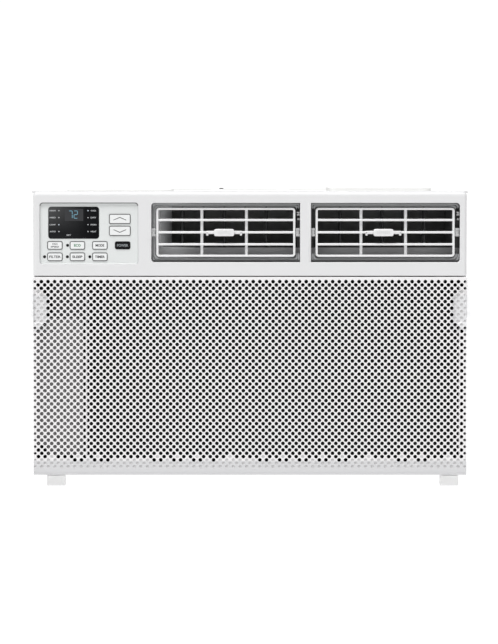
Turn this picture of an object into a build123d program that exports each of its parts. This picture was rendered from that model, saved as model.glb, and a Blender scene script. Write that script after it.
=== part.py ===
from build123d import *
import os

# Window air conditioner. Millimetres, +Z up, the front faces -Y, X runs across the front.
# The origin is on the ground under the middle of the unit.

# ---- overall size ----
HALF_W = 328.0          # half the width of the front
TOP_Z = 447.0           # top of the front
HALF_D = 335.0          # half the depth, front skin to rear guard
FOOT_H = 16.6           # ground to the underside of the base pan
FRONT_Y = -HALF_D
REAR_Y = HALF_D
WALL = 3.0              # moulded plastic wall
SHEET = 1.2             # sheet metal
FASCIA_BACK_Y = -257.0  # where the moulded front meets the cabinet
SPLIT_Z = 319.6         # lower edge of the upper panel, just above the hinged grille

# ---- hinged intake grille and its filter ----
GRILLE_TOP_Z = 317.6
GRILLE_SKIN = 2.6
GRILLE_BACK_Y = -316.0
GRILLE_PIVOT_Y = -328.0
GRILLE_PIVOT_Z = 23.0
GRILLE_PIN_R = 2.0
GRILLE_LUG_X = 292.0
GRILLE_LUG_W = 5.0
GRILLE_LUG_R = 3.2
BAY_Y = -314.0          # front of the fascia frame behind the grille
INTAKE_X0, INTAKE_X1 = -250.0, 321.0
INTAKE_Z0, INTAKE_Z1 = 42.0, 306.0
SLOT_COLUMNS = 4
SLOT_ROWS = 27
SLOT_H = 5.0
SLOT_W = 144.0
SLOT_PITCH_X = 152.0
SLOT_PITCH_Z = 10.0
SLOT_FIRST_Z = 45.0
TAB_X = 334.7           # outer edge of the finger tabs
TAB_Z0 = 256.0
GRIP_X = 307.0          # inner edge of the grip pockets
GRIP_Z0 = 245.0
GRIP_Z1 = 298.0
GRIP_Y = -333.0         # floor of the grip pockets
GRIP_BACK_Y = -329.6
FILTER_X0, FILTER_X1 = -246.0, 316.0
FILTER_BAR = 8.0
FILTER_Z0 = 44.0
FILTER_Z1 = 304.0
FILTER_Y0 = -329.0
FILTER_Y1 = -321.0

# ---- control panel ----
PANEL_X0, PANEL_X1 = -317.6, -169.0
PANEL_Z0, PANEL_Z1 = 337.0, 430.0
PANEL_R = 4.5
OVERLAY_Y0 = -332.0
OVERLAY_Y1 = -329.5
OVERLAY_LIP = 2.4
DISPLAY_X0, DISPLAY_X1 = -305.0, -228.0
DISPLAY_Z0, DISPLAY_Z1 = 375.5, 424.0
BUTTON_Y0 = -332.8
BUTTON_R = 2.6
BUTTON_GAP = 0.3
BUTTON_TRAVEL = 0.6
FLANGE_Y0, FLANGE_Y1 = -328.9, -327.9
FLANGE_LIP = 1.0
BOARD_Y0, BOARD_Y1 = -322.0, -320.4
COLUMN_X = (-294.9, -260.9, -226.9)   # centres of the three button columns
SMALL_W, SMALL_H = 23.0, 12.6
ROW_Z = (365.5, 348.2)                # centres of the two small-button rows
ARROW_X, ARROW_W, ARROW_H = -196.7, 32.6, 15.0
ARROW_Z = (405.5, 387.5)
POWER_X, POWER_W, POWER_H = -192.5, 23.0, 11.5
LED_R = 2.2
LED_X = 19.0                          # distance of an indicator left of its button's centre

# ---- air outlets and louvers ----
VENT_Z0, VENT_Z1 = 340.0, 429.6
VENTS = {"left": (-149.0, 75.8), "right": (92.4, 317.3)}
DUCT_FLARE = {"left": (13.0, 27.0), "right": (5.3, 17.3)}   # outer wall's inset, front and back
VENT_R = 5.0
EDGE_R = 1.0                          # softened rims of the openings in the front
CASSETTE_W, CASSETTE_H = 210.6, 74.6
CASSETTE_INSET = {"left": 7.25, "right": 6.9}               # from the vent's left edge
CASSETTE_Y0, CASSETTE_Y1 = -330.0, -318.0
PIVOT_Y, PIVOT_Z = -322.0, 385.1
BAR = 4.1
BAR_OFFSETS = (18.6, 0.0, -18.2)
RIB_W = 5.7
RIB_SHIFT = 33.75                     # half the distance between the two ribs
TAB_SHIFT = -2.6                      # the tab sits this far off the cassette's centre
CASSETTE_PIN_R = 2.5
PIN_CLEAR = 0.06
RAIL_W, RAIL_H = 54.5, 6.4
TAB_W, TAB_H = 30.0, 11.3
TAB_TRAVEL = 8.0
EAR_W = 3.0
PRONG_GAP, PRONG_T = 2.2, 2.0
PRONG_Y1 = -293.0
DUCT_BACK_Y = -250.0
DUCT_STEP_Y = -304.0
FLOOR_Z, ROOF_Z = 362.0, 424.0
VANES = 5
VANE_PITCH = 32.0
VANE_Y = -276.0
VANE_FRONT, VANE_REAR = 20.0, 18.0
VANE_T = 1.6
VANE_Z0, VANE_Z1 = 364.0, 416.0
VANE_PIN_R = 1.5
LINK_R = 12.0                         # crank of each vane behind its axis
LINK_Z0, LINK_Z1 = 417.0, 419.0
LINK_PIN_R = 1.2

# ---- fan set, all on one shaft ----
FAN_X, FAN_Z = 40.0, 190.0
SHAFT_R = 6.0
SHAFT_Y0, SHAFT_Y1 = -250.0, 262.0
BLOWER_R, BLOWER_Y0, BLOWER_Y1 = 105.0, -244.0, -160.0
BLOWER_BLADES = 20
SCROLL_R, SCROLL_Y0, SCROLL_Y1 = 130.0, -250.0, -150.0
PARTITION_Y0, PARTITION_Y1 = -147.0, -144.0
MOTOR_R, MOTOR_Y0, MOTOR_Y1 = 62.0, -125.0, 5.0
FAN_R, FAN_Y0, FAN_Y1 = 160.0, 212.0, 258.0
FAN_BLADES = 5

# ---- cooling circuit ----
EVAP_X0, EVAP_X1 = -236.0, 300.0
EVAP_Y0, EVAP_Y1, EVAP_Z0, EVAP_Z1 = -300.0, -264.0, 46.0, 324.0
COND_HALF_W = 285.0
COND_Y0, COND_Y1, COND_Z0, COND_Z1 = 285.0, 323.0, 46.0, 420.0
COMPRESSOR_X, COMPRESSOR_Y, COMPRESSOR_R = -200.0, 75.0, 74.0
COMPRESSOR_Z0, COMPRESSOR_Z1 = 52.0, 300.0
ACCUMULATOR_X, ACCUMULATOR_Y, ACCUMULATOR_R = -200.0, -32.0, 26.0
COND_PORT_Z, EVAP_PORT_Z = 345.3, 289.3      # where the lines enter, between two tube bends
SUCTION_X, SUCTION_Z = -264.0, 318.0

# ---- cabinet ----
CABINET_HALF_W, CABINET_Z0, CABINET_Z1 = 325.0, 22.0, 445.0
CABINET_Y1 = 332.0
PAN_HALF_W, PAN_Z1, PAN_RIM_Z = 323.6, 19.6, 44.0
EMBOSS_Y0, EMBOSS_Y1 = -180.0, 30.0
EMBOSSES = ((-287.0, -124.0, 2.5), (124.0, 284.0, 5.5))     # x range and height of each
FEET_X = (-294.8, 303.0)
FEET_Y = (-308.0, 255.0)
FOOT_W, FOOT_D = 27.5, 32.0
FOOT_STEP = 1.0         # the front feet are lower where the grille swings over them
BOLT_HALF_X, BOLT_HALF_Y, BOLT_R = 250.0, 190.0, 3.25
DRAIN_X, DRAIN_Y, DRAIN_R = 180.0, 270.0, 5.0
GUARD_SLOT_W = 188.0
SCREW_R, SCREW_HEAD_R = 2.0, 4.2
GLAND_X, GLAND_Y, GLAND_R, GLAND_BORE_R = -252.0, -284.0, 6.5, 4.0


def block(x0, x1, y0, y1, z0, z1):
    """Box between two corners."""
    middle = Pos((x0 + x1) / 2, (y0 + y1) / 2, (z0 + z1) / 2)
    return middle * Box(abs(x1 - x0), abs(y1 - y0), abs(z1 - z0))


def plate(x0, x1, y0, y1, z0, z1, radius):
    """Upright plate whose four corners are rounded when seen from the front."""
    flat = block(x0, x1, y0, y1, z0, z1)
    return fillet(flat.edges().filter_by(Axis.Y), radius)


def rod_x(x0, x1, y, z, radius):
    return Pos((x0 + x1) / 2, y, z) * Rot(0, 90, 0) * Cylinder(radius, abs(x1 - x0))


def rod_y(x, y0, y1, z, radius):
    return Pos(x, (y0 + y1) / 2, z) * Rot(90, 0, 0) * Cylinder(radius, abs(y1 - y0))


def rod_z(x, y, z0, z1, radius):
    return Pos(x, y, (z0 + z1) / 2) * Cylinder(radius, abs(z1 - z0))


def pipe(points, radius, bend):
    """Round tube along straight runs with equal bends between them."""
    route = FilletPolyline(*points, radius=bend)
    section = Plane(origin=route @ 0, z_dir=route % 0) * Circle(radius)
    return sweep(section, path=route)


def corners():
    """The four sign pairs of a rectangle."""
    return [(sx, sy) for sx in (-1, 1) for sy in (-1, 1)]


# ---------------------------------------------------------------- moulded front

def fascia():
    """Moulded front: upper panel with its openings, side walls and the frame behind the grille."""
    shell = block(-HALF_W, HALF_W, FRONT_Y, FASCIA_BACK_Y, FOOT_H, TOP_Z)
    front = shell.faces().sort_by(Axis.Y)[0]
    shell = fillet(front.edges().filter_by(Axis.Z), 5.0)
    crown = shell.faces().sort_by(Axis.Y)[0].edges().sort_by(Axis.Z)[-1]
    shell = fillet(crown, 7.0)
    inner = HALF_W - WALL
    shell -= block(-inner, inner, FRONT_Y + WALL, 0, FOOT_H + WALL, TOP_Z - WALL)
    shell -= block(-400, 400, -400, BAY_Y, 0, SPLIT_Z)
    shell += block(-HALF_W + 2, HALF_W - 2, FRONT_Y + WALL, BAY_Y + WALL, SPLIT_Z, SPLIT_Z + WALL)
    shell += block(-HALF_W, HALF_W, BAY_Y, BAY_Y + WALL, FOOT_H, SPLIT_Z + WALL)
    shell -= block(INTAKE_X0, INTAKE_X1, -320, -300, INTAKE_Z0, INTAKE_Z1)
    shell += block(-HALF_W - 4.5, HALF_W + 4.5, -292, FASCIA_BACK_Y, 444.2, 446.7)
    for side in (-1, 1):
        shell -= block(side * 326, side * 340, -293, -256, 430, 440)
        shell += block(side * 325, side * HALF_W, -293, -257, 429, 442)
        lug_x0 = side * GRILLE_LUG_X
        lug_x1 = side * (GRILLE_LUG_X + GRILLE_LUG_W)
        lug_z0 = GRILLE_PIVOT_Z - 2.6
        lug_z1 = GRILLE_PIVOT_Z + 2.6
        shell += block(lug_x0, lug_x1, GRILLE_PIVOT_Y, BAY_Y + 1, lug_z0, lug_z1)
        shell += rod_x(lug_x0, lug_x1, GRILLE_PIVOT_Y, GRILLE_PIVOT_Z, GRILLE_LUG_R)
        shell -= rod_x(lug_x0 - side, lug_x1 + side, GRILLE_PIVOT_Y, GRILLE_PIVOT_Z, GRILLE_PIN_R + PIN_CLEAR)
    shell -= rod_z(GLAND_X, GLAND_Y, 0, 30, GLAND_R)
    shell -= plate(PANEL_X0, PANEL_X1, -340, -330, PANEL_Z0, PANEL_Z1, PANEL_R)
    for side in VENTS:
        shell -= vent_cutter(side)
    front = shell.faces().sort_by(Axis.Y)[0]
    rims = [edge for wire in front.inner_wires() for edge in wire.edges()]
    return fillet(rims, EDGE_R)


def vent_cutter(side):
    """Opening of one air outlet, rounded at its outer corners and square at the mullion."""
    x0, x1 = VENTS[side]
    cutter = block(x0, x1, -340, -330, VENT_Z0, VENT_Z1)
    uprights = cutter.edges().filter_by(Axis.Y).sort_by(Axis.X)
    outer = uprights[:2] if side == "left" else uprights[-2:]
    return fillet(outer, VENT_R)


def finger_tab(side):
    """Grip tab that stands out at one side of the grille, with its blind grip pocket."""
    tab = block(side * (HALF_W - 4), side * TAB_X, -333, -322, TAB_Z0, GRILLE_TOP_Z)
    outer = tab.edges().filter_by(Axis.Z).group_by(SortBy.DISTANCE)[-1]
    tab = fillet(outer, 3.0)
    backing = block(side * (GRIP_X - 3), side * (HALF_W - 1), GRIP_Y, GRIP_BACK_Y, GRIP_Z0 - 3, GRIP_Z1 + 3)
    return tab + backing


def front_grille():
    """Intake grille, a shallow tray that hinges forward about two pins at its lower edge."""
    tray = block(-HALF_W, HALF_W, FRONT_Y, GRILLE_BACK_Y, FOOT_H, GRILLE_TOP_Z)
    front = tray.faces().sort_by(Axis.Y)[0]
    tray = fillet(front.edges().filter_by(Axis.Z), 5.0)
    lower = tray.faces().sort_by(Axis.Y)[0].edges().sort_by(Axis.Z)[0]
    tray = fillet(lower, 7.0)
    inner = HALF_W - GRILLE_SKIN
    tray -= block(-inner, inner, FRONT_Y + GRILLE_SKIN, 0, FOOT_H + GRILLE_SKIN, GRILLE_TOP_Z - GRILLE_SKIN)
    for side in (-1, 1):
        tray += finger_tab(side)
        tray -= block(side * GRIP_X, side * (HALF_W - 2), -340, GRIP_Y, GRIP_Z0, GRIP_Z1)
        rib_x0 = side * (GRILLE_LUG_X + GRILLE_LUG_W + 3)
        rib_x1 = side * (GRILLE_LUG_X + GRILLE_LUG_W + 6)
        notch_x0 = side * (GRILLE_LUG_X - 1)
        notch_x1 = side * (GRILLE_LUG_X + GRILLE_LUG_W + 1)
        tray -= block(notch_x0, notch_x1, -330.5, -300, 0, FOOT_H + GRILLE_SKIN + 1)
        tray += block(rib_x0, rib_x1, -333, -320, 18, 38)
        tray += rod_x(side * (GRILLE_LUG_X - 2), rib_x0, GRILLE_PIVOT_Y, GRILLE_PIVOT_Z, GRILLE_PIN_R)
    for x in (FILTER_X0 - 2.5, FILTER_X1 + 0.5):
        tray += block(x, x + 2, -333, -319, FILTER_Z0, FILTER_Z1)
    first_x = -SLOT_PITCH_X * (SLOT_COLUMNS - 1) / 2
    slots = [
        block(-SLOT_W / 2, SLOT_W / 2, -340, -331, 0, SLOT_H).moved(
            Location((first_x + column * SLOT_PITCH_X, 0, SLOT_FIRST_Z + row * SLOT_PITCH_Z))
        )
        for column in range(SLOT_COLUMNS)
        for row in range(SLOT_ROWS)
    ]
    return tray - slots


def air_filter():
    """Washable filter: a frame with cross bars around a thin screen, clipped to the grille's back."""
    frame = block(FILTER_X0, FILTER_X1, FILTER_Y0, FILTER_Y1, FILTER_Z0, FILTER_Z1)
    cell_w = (FILTER_X1 - FILTER_X0 - 5 * FILTER_BAR) / 4
    cell_h = (FILTER_Z1 - FILTER_Z0 - 3 * FILTER_BAR) / 2
    for column in range(4):
        for row in range(2):
            x0 = FILTER_X0 + FILTER_BAR + column * (cell_w + FILTER_BAR)
            z0 = FILTER_Z0 + FILTER_BAR + row * (cell_h + FILTER_BAR)
            frame -= block(x0, x0 + cell_w, FILTER_Y0 - 1, FILTER_Y0 + 3, z0, z0 + cell_h)
            frame -= block(x0, x0 + cell_w, FILTER_Y0 + 4, FILTER_Y1 + 1, z0, z0 + cell_h)
    return frame


# ---------------------------------------------------------------- control panel

def button_places():
    """Name, centre x, centre z, width and height of every button."""
    places = [
        ("button_up", ARROW_X, ARROW_Z[0], ARROW_W, ARROW_H),
        ("button_down", ARROW_X, ARROW_Z[1], ARROW_W, ARROW_H),
        ("button_power", POWER_X, ROW_Z[0], POWER_W, POWER_H),
    ]
    rows = (("fan_speed", "eco", "mode"), ("filter", "sleep", "timer"))
    for row, names in enumerate(rows):
        for column, name in enumerate(names):
            places.append((f"button_{name}", COLUMN_X[column], ROW_Z[row], SMALL_W, SMALL_H))
    return places


def indicator_places():
    """Centres of the indicator lights beside the mode keys."""
    lower = [(x - LED_X + (3.3 if x == COLUMN_X[0] else 3.8), ROW_Z[1]) for x in COLUMN_X]
    return [(COLUMN_X[1] - LED_X + 4.2, ROW_Z[0])] + lower


def key(x, z, width, height):
    """Key cap with the flange that keeps it behind the overlay."""
    half_w = width / 2
    half_h = height / 2
    cap = plate(x - half_w, x + half_w, BUTTON_Y0, FLANGE_Y0, z - half_h, z + half_h, BUTTON_R)
    flange = block(
        x - half_w - FLANGE_LIP, x + half_w + FLANGE_LIP, FLANGE_Y0, FLANGE_Y1,
        z - half_h - FLANGE_LIP, z + half_h + FLANGE_LIP,
    )
    return cap + flange


def control_overlay():
    """Recessed control plate with a window, nine key holes, indicator holes and board posts."""
    sheet = block(
        PANEL_X0 - OVERLAY_LIP, PANEL_X1 + OVERLAY_LIP, OVERLAY_Y0, OVERLAY_Y1,
        PANEL_Z0 - OVERLAY_LIP, PANEL_Z1 + OVERLAY_LIP,
    )
    sheet -= plate(DISPLAY_X0, DISPLAY_X1, -340, -320, DISPLAY_Z0, DISPLAY_Z1, PANEL_R)
    for _, x, z, width, height in button_places():
        half_w = width / 2 + BUTTON_GAP
        half_h = height / 2 + BUTTON_GAP
        sheet -= plate(x - half_w, x + half_w, -340, -320, z - half_h, z + half_h, BUTTON_R + BUTTON_GAP)
    for x, z in indicator_places():
        sheet -= rod_y(x, -340, -320, z, LED_R + 0.1)
    for x in (PANEL_X0 + 3, PANEL_X1 - 3):
        for z in (PANEL_Z0 + 1, PANEL_Z1 - 1):
            sheet += rod_y(x, OVERLAY_Y1 - 1, BOARD_Y0, z, 2.0)
    return sheet


def display_window():
    """Dark lens over the display."""
    return plate(
        DISPLAY_X0 + 0.1, DISPLAY_X1 - 0.1, -332.4, OVERLAY_Y1, DISPLAY_Z0 + 0.1, DISPLAY_Z1 - 0.1, PANEL_R,
    )


def indicator_lights():
    """Light pipes of the indicators, one solid each."""
    return [rod_y(x, -332.2, -325.0, z, LED_R) for x, z in indicator_places()]


def control_board():
    """Circuit board with the display module and one tact switch behind each key."""
    board = block(PANEL_X0, PANEL_X1, BOARD_Y0, BOARD_Y1, PANEL_Z0 - 1, PANEL_Z1 + 1)
    board += block(DISPLAY_X0 + 5, DISPLAY_X1 - 5, -328.5, BOARD_Y0, DISPLAY_Z0 + 4, DISPLAY_Z1 - 4)
    for _, x, z, _, _ in button_places():
        board += block(x - 3, x + 3, FLANGE_Y1 + 1.0, BOARD_Y0, z - 3, z + 3)
    for x, z in indicator_places():
        board += block(x - 1.5, x + 1.5, -325.0, BOARD_Y0, z - 1.5, z + 1.5)
    return board


# ---------------------------------------------------------------- air outlets

def vent_middle(side):
    """Centre of a vent's louver cassette."""
    return VENTS[side][0] + CASSETTE_INSET[side] + CASSETTE_W / 2


def vane_places(side):
    """Centres of a vent's vanes; the middle one meets the thumb tab."""
    middle = vent_middle(side) + TAB_SHIFT
    return [middle + (i - (VANES - 1) / 2) * VANE_PITCH for i in range(VANES)]


def duct_passage(side):
    """Narrowing passage behind one vent, seen from above."""
    x0, x1 = VENTS[side]
    near, far = DUCT_FLARE[side]
    if side == "left":
        outline = [(x0 + near, DUCT_STEP_Y), (x1 - 4, DUCT_STEP_Y), (x1 - 4, -240), (x0 + far + 5, -240)]
    else:
        outline = [(x0 + 4, DUCT_STEP_Y), (x1 - near, DUCT_STEP_Y), (x1 - far - 2, -240), (x0 + 4, -240)]
    passage = extrude(make_face(Polyline(*outline, close=True)), ROOF_Z - FLOOR_Z)
    return Pos(0, 0, FLOOR_Z) * passage


def outlet_duct():
    """Discharge duct: a recess behind each vent, then a narrower passage that carries the vanes."""
    left = VENTS["left"][0]
    right = VENTS["right"][1]
    duct = block(left - WALL, right + WALL, OVERLAY_Y0, DUCT_BACK_Y, VENT_Z0 - WALL, VENT_Z1 + WALL)
    for side, (x0, x1) in VENTS.items():
        duct -= block(x0, x1, -340, DUCT_STEP_Y, VENT_Z0, VENT_Z1)
        duct -= duct_passage(side)
        duct -= block(x0, x1, -292, -240, VENT_Z0 - 10, FLOOR_Z - WALL - 1)
        step_y = DUCT_STEP_Y - 1
        lip = Polyline((step_y, 344), (-297, FLOOR_Z + 1), (step_y, FLOOR_Z + 1), close=True)
        wedge = extrude(Plane.YZ * make_face(lip), x1 - x0 - 12)
        duct -= Pos(x0 + 6, 0, 0) * wedge
        for x in vane_places(side):
            duct -= rod_z(x, VANE_Y, VANE_Z0 - 8, VANE_Z1 + 12, VANE_PIN_R + PIN_CLEAR)
        middle = vent_middle(side)
        reach = CASSETTE_W / 2 + 12
        duct -= rod_x(middle - reach, middle + reach, PIVOT_Y, PIVOT_Z, CASSETTE_PIN_R + PIN_CLEAR)
    return duct


def louver(side):
    """Louver cassette: a rounded frame with three cross bars and two set-back ribs, on two side pins."""
    x = vent_middle(side)
    half_w = CASSETTE_W / 2
    z0 = PIVOT_Z - CASSETTE_H / 2
    z1 = PIVOT_Z + CASSETTE_H / 2
    frame = plate(x - half_w, x + half_w, CASSETTE_Y0, CASSETTE_Y1, z0, z1, 5.0)
    inner_w = half_w - BAR
    frame -= plate(x - inner_w, x + inner_w, -340, -300, z0 + BAR, z1 - BAR, 2.0)
    for offset in BAR_OFFSETS:
        z = PIVOT_Z + offset
        frame += block(x - half_w + 1, x + half_w - 1, CASSETTE_Y0, CASSETTE_Y1, z - BAR / 2, z + BAR / 2)
    centre = x + TAB_SHIFT
    for sign in (-1, 1):
        rib_x = centre + sign * RIB_SHIFT
        frame += block(rib_x - RIB_W / 2, rib_x + RIB_W / 2, -325, CASSETTE_Y1, z0 + 1, z1 - 1)
        pin_x = x + sign * (half_w + 9.5)
        frame += rod_x(x + sign * (half_w - 1), pin_x, PIVOT_Y, PIVOT_Z, CASSETTE_PIN_R)
        ear_x0 = centre + sign * (RAIL_W / 2 - EAR_W)
        ear_x1 = centre + sign * RAIL_W / 2
        frame += block(ear_x0, ear_x1, CASSETTE_Y0, CASSETTE_Y1, PIVOT_Z - 5, PIVOT_Z + 3)
    rail_x0 = centre - RAIL_W / 2
    rail_x1 = centre + RAIL_W / 2
    half_h = RAIL_H / 2
    return frame + block(rail_x0, rail_x1, CASSETTE_Y0, CASSETTE_Y1, PIVOT_Z - half_h, PIVOT_Z + half_h)


def thumb_tab(side):
    """Sliding tab around the middle bar, with two prongs that straddle the middle vane's front edge."""
    x = vent_middle(side) + TAB_SHIFT
    half_h = TAB_H / 2
    tab = block(x - TAB_W / 2, x + TAB_W / 2, -334.5, -315.6, PIVOT_Z - half_h, PIVOT_Z + half_h)
    front = tab.faces().sort_by(Axis.Y)[0]
    tab = chamfer(front.edges(), 2.4)
    hollow = RAIL_H / 2 + 0.35
    tab -= block(x - 20, x + 20, CASSETTE_Y0 - 0.35, CASSETTE_Y1 + 0.35, PIVOT_Z - hollow, PIVOT_Z + hollow)
    for sign in (-1, 1):
        inner = x + sign * PRONG_GAP
        outer = x + sign * (PRONG_GAP + PRONG_T)
        tab += block(inner, outer, -316, PRONG_Y1, PIVOT_Z - half_h, PIVOT_Z + half_h)
    return tab


def vane(x):
    """Upright vane with a pivot pin at both ends and a crank pin on top."""
    half_t = VANE_T / 2
    blade = block(x - half_t, x + half_t, VANE_Y - VANE_FRONT, VANE_Y + VANE_REAR, VANE_Z0, VANE_Z1)
    blade = fillet(blade.edges().filter_by(Axis.Z), 0.6)
    blade += rod_z(x, VANE_Y, VANE_Z0 - 6, VANE_Z1 + 10, VANE_PIN_R)
    blade += rod_z(x, VANE_Y, VANE_Z0 - 1.2, VANE_Z1 + 1.2, 2.6)
    return blade + rod_z(x, VANE_Y + LINK_R, VANE_Z1 - 4, LINK_Z1 + 1.5, LINK_PIN_R)


def vane_link(side):
    """Tie bar over a vent's vanes; its slots run fore and aft so the crank pins can swing."""
    places = vane_places(side)
    y = VANE_Y + LINK_R
    bar = block(places[0] - 6, places[-1] + 6, y - 4, y + 4, LINK_Z0, LINK_Z1)
    half_w = LINK_PIN_R + 0.35
    for x in places:
        bar -= block(x - half_w, x + half_w, y - 2.7, y + 1.8, LINK_Z0 - 1, LINK_Z1 + 1)
    return bar


# ---------------------------------------------------------------- fan set

def blower_scroll():
    """Blower housing: a round chamber that opens upwards into the discharge duct."""
    left = VENTS["left"][0]
    right = VENTS["right"][1]

    def chamber(inset, y0, y1):
        space = rod_y(FAN_X, y0, y1, FAN_Z, SCROLL_R - inset)
        space += block(-88 + inset, FAN_X + SCROLL_R - inset, y0, y1, FAN_Z, VENT_Z0 + 10)
        return space + block(left + inset, right - inset, y0, y1, 337 + inset, 437 - inset)

    scroll = chamber(0, SCROLL_Y0, SCROLL_Y1) - chamber(WALL, SCROLL_Y0 + WALL, SCROLL_Y1 - WALL)
    scroll -= rod_y(FAN_X, -260, SCROLL_Y0 + WALL + 1, FAN_Z, BLOWER_R - 8)
    scroll -= block(left + 6, right - 6, -260, SCROLL_Y0 + WALL + 1, FLOOR_Z, ROOF_Z)
    scroll -= rod_y(FAN_X, SCROLL_Y1 - WALL - 1, SCROLL_Y1 + 1, FAN_Z, SHAFT_R + 6)
    return scroll


def blower_wheel():
    """Centrifugal wheel: back disc and hub, two rims and blades between them."""
    wheel = rod_y(FAN_X, BLOWER_Y1 - 3, BLOWER_Y1, FAN_Z, BLOWER_R)
    rim = rod_y(FAN_X, BLOWER_Y0, BLOWER_Y0 + 5, FAN_Z, BLOWER_R)
    wheel += rim - rod_y(FAN_X, BLOWER_Y0 - 1, BLOWER_Y0 + 6, FAN_Z, BLOWER_R - 18)
    wheel += rod_y(FAN_X, BLOWER_Y1 - 32, BLOWER_Y1, FAN_Z, 14)
    blade = block(-1.2, 1.2, BLOWER_Y0 + 4, BLOWER_Y1 - 2, BLOWER_R - 17, BLOWER_R - 2)
    for i in range(BLOWER_BLADES):
        wheel += Pos(FAN_X, 0, FAN_Z) * Rot(0, i * 360 / BLOWER_BLADES, 0) * blade
    return wheel - rod_y(FAN_X, -300, -100, FAN_Z, SHAFT_R)


def condenser_fan():
    """Axial fan with pitched blades inside a slinger ring that lifts condensate onto the coil."""
    middle = (FAN_Y0 + FAN_Y1) / 2
    fan = rod_y(FAN_X, FAN_Y0, FAN_Y1, FAN_Z, 34)
    ring = rod_y(FAN_X, middle - 9, middle + 9, FAN_Z, FAN_R)
    fan += ring - rod_y(FAN_X, middle - 10, middle + 10, FAN_Z, FAN_R - 3)
    blade = Pos(0, 0, 95) * Rot(0, 0, 28) * Box(92, 2.5, 130)
    for i in range(FAN_BLADES):
        turn = Pos(FAN_X, middle, FAN_Z) * Rot(0, i * 360 / FAN_BLADES, 0)
        fan += turn * blade & rod_y(FAN_X, FAN_Y0 + 1, FAN_Y1 - 1, FAN_Z, FAN_R - 1)
    return fan - rod_y(FAN_X, 100, 400, FAN_Z, SHAFT_R)


def motor_shaft():
    return rod_y(FAN_X, SHAFT_Y0, SHAFT_Y1, FAN_Z, SHAFT_R)


def fan_motor():
    """Two-ended fan motor: a can with end caps and bearing bosses around the shaft."""
    motor = rod_y(FAN_X, MOTOR_Y0, MOTOR_Y1, FAN_Z, MOTOR_R)
    motor = fillet(motor.edges(), 6.0)
    motor += rod_y(FAN_X, MOTOR_Y0 - 12, MOTOR_Y1 + 12, FAN_Z, 16)
    motor -= rod_y(FAN_X, MOTOR_Y0 + 4, MOTOR_Y1 - 4, FAN_Z, SHAFT_R + 3)
    return motor - rod_y(FAN_X, -200, 100, FAN_Z, SHAFT_R + PIN_CLEAR)


def motor_bracket():
    """Folded stand that carries the motor from the base pan, with a strap around the can."""
    y0, y1 = MOTOR_Y0 + 30, MOTOR_Y1 - 30
    stand = block(FAN_X - 80, FAN_X + 80, y0, y1, PAN_Z1, PAN_Z1 + 3)
    for side in (-1, 1):
        stand += block(FAN_X + side * 68, FAN_X + side * 71, y0, y1, PAN_Z1 + 2, FAN_Z)
    strap = rod_y(FAN_X, y0, y1, FAN_Z, 71) - rod_y(FAN_X, y0 - 1, y1 + 1, FAN_Z, MOTOR_R + 0.2)
    return stand + strap


def condenser_shroud():
    """Fan shroud: an upright plate with a round throat, in front of the condenser coil."""
    y0, y1 = FAN_Y0 - 4, FAN_Y1 + 2
    shroud = block(-COND_HALF_W, COND_HALF_W, y1, y1 + WALL, PAN_Z1, COND_Z1)
    shroud += rod_y(FAN_X, y0, y1 + 1, FAN_Z, FAN_R + 8)
    shroud -= rod_y(FAN_X, y0 - 1, y1 + 10, FAN_Z, FAN_R + 5)
    return shroud


def partition():
    """Bulkhead between the cool front and the warm rear."""
    wall = block(-PAN_HALF_W + 3, PAN_HALF_W - 3, PARTITION_Y0, PARTITION_Y1, PAN_Z1, 442)
    wall -= rod_y(SUCTION_X, -150, -140, SUCTION_Z, 8)
    return wall - rod_y(FAN_X, -150, -140, FAN_Z, SHAFT_R + 8)


# ---------------------------------------------------------------- cooling circuit

def coil(x0, x1, y0, y1, z0, z1, bends):
    """Finned coil: the fin pack, two end plates that stand on the pan, and the tube bends past them."""
    pack = block(x0 + 2, x1 - 2, y0, y1, z0 + 3, z1 - 3)
    pitch = (z1 - z0) / bends
    middle = (y0 + y1) / 2
    loop = Torus(pitch / 4, 4.0)
    for end, out in ((x0, -1), (x1, 1)):
        pack += block(end, end - out * 2, y0 - 1, y1 + 1, z0, z1)
        pack += block(end, end - out * 2, y0, y1, PAN_Z1, z0 + 1)
        for i in range(bends):
            z = z0 + (i + 0.5) * pitch
            half_loop = Pos(end, middle, z) * Rot(90, 0, 0) * loop
            pack += half_loop & block(end - out, end + out * 30, y0, y1, z0 - 10, z1 + 10)
    return pack


def evaporator_coil():
    return coil(EVAP_X0, EVAP_X1, EVAP_Y0, EVAP_Y1, EVAP_Z0, EVAP_Z1, 8)


def condenser_coil():
    return coil(-COND_HALF_W, COND_HALF_W, COND_Y0, COND_Y1, COND_Z0, COND_Z1, 10)


def compressor():
    """Rotary compressor: a domed can on a three-footed plate."""
    can = rod_z(COMPRESSOR_X, COMPRESSOR_Y, COMPRESSOR_Z0, COMPRESSOR_Z1, COMPRESSOR_R)
    can = fillet(can.edges().sort_by(Axis.Z)[-1], 34)
    can += rod_z(COMPRESSOR_X, COMPRESSOR_Y, COMPRESSOR_Z1 - 2, COMPRESSOR_Z1 + 18, 7)
    can += rod_z(COMPRESSOR_X + 30, COMPRESSOR_Y, COMPRESSOR_Z1 - 20, COMPRESSOR_Z1 + 10, 13)
    for x, y in grommet_places():
        can += block(x - 14, x + 14, y - 14, y + 14, COMPRESSOR_Z0 - 6, COMPRESSOR_Z0 - 2)
    foot = block(
        COMPRESSOR_X - 66, COMPRESSOR_X + 66, COMPRESSOR_Y - 66, COMPRESSOR_Y + 66,
        COMPRESSOR_Z0 - 6, COMPRESSOR_Z0 + 1,
    )
    can += foot
    for x, y in grommet_places():
        can -= rod_z(x, y, 0, COMPRESSOR_Z0 + 5, 6.5)
    return can


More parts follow.
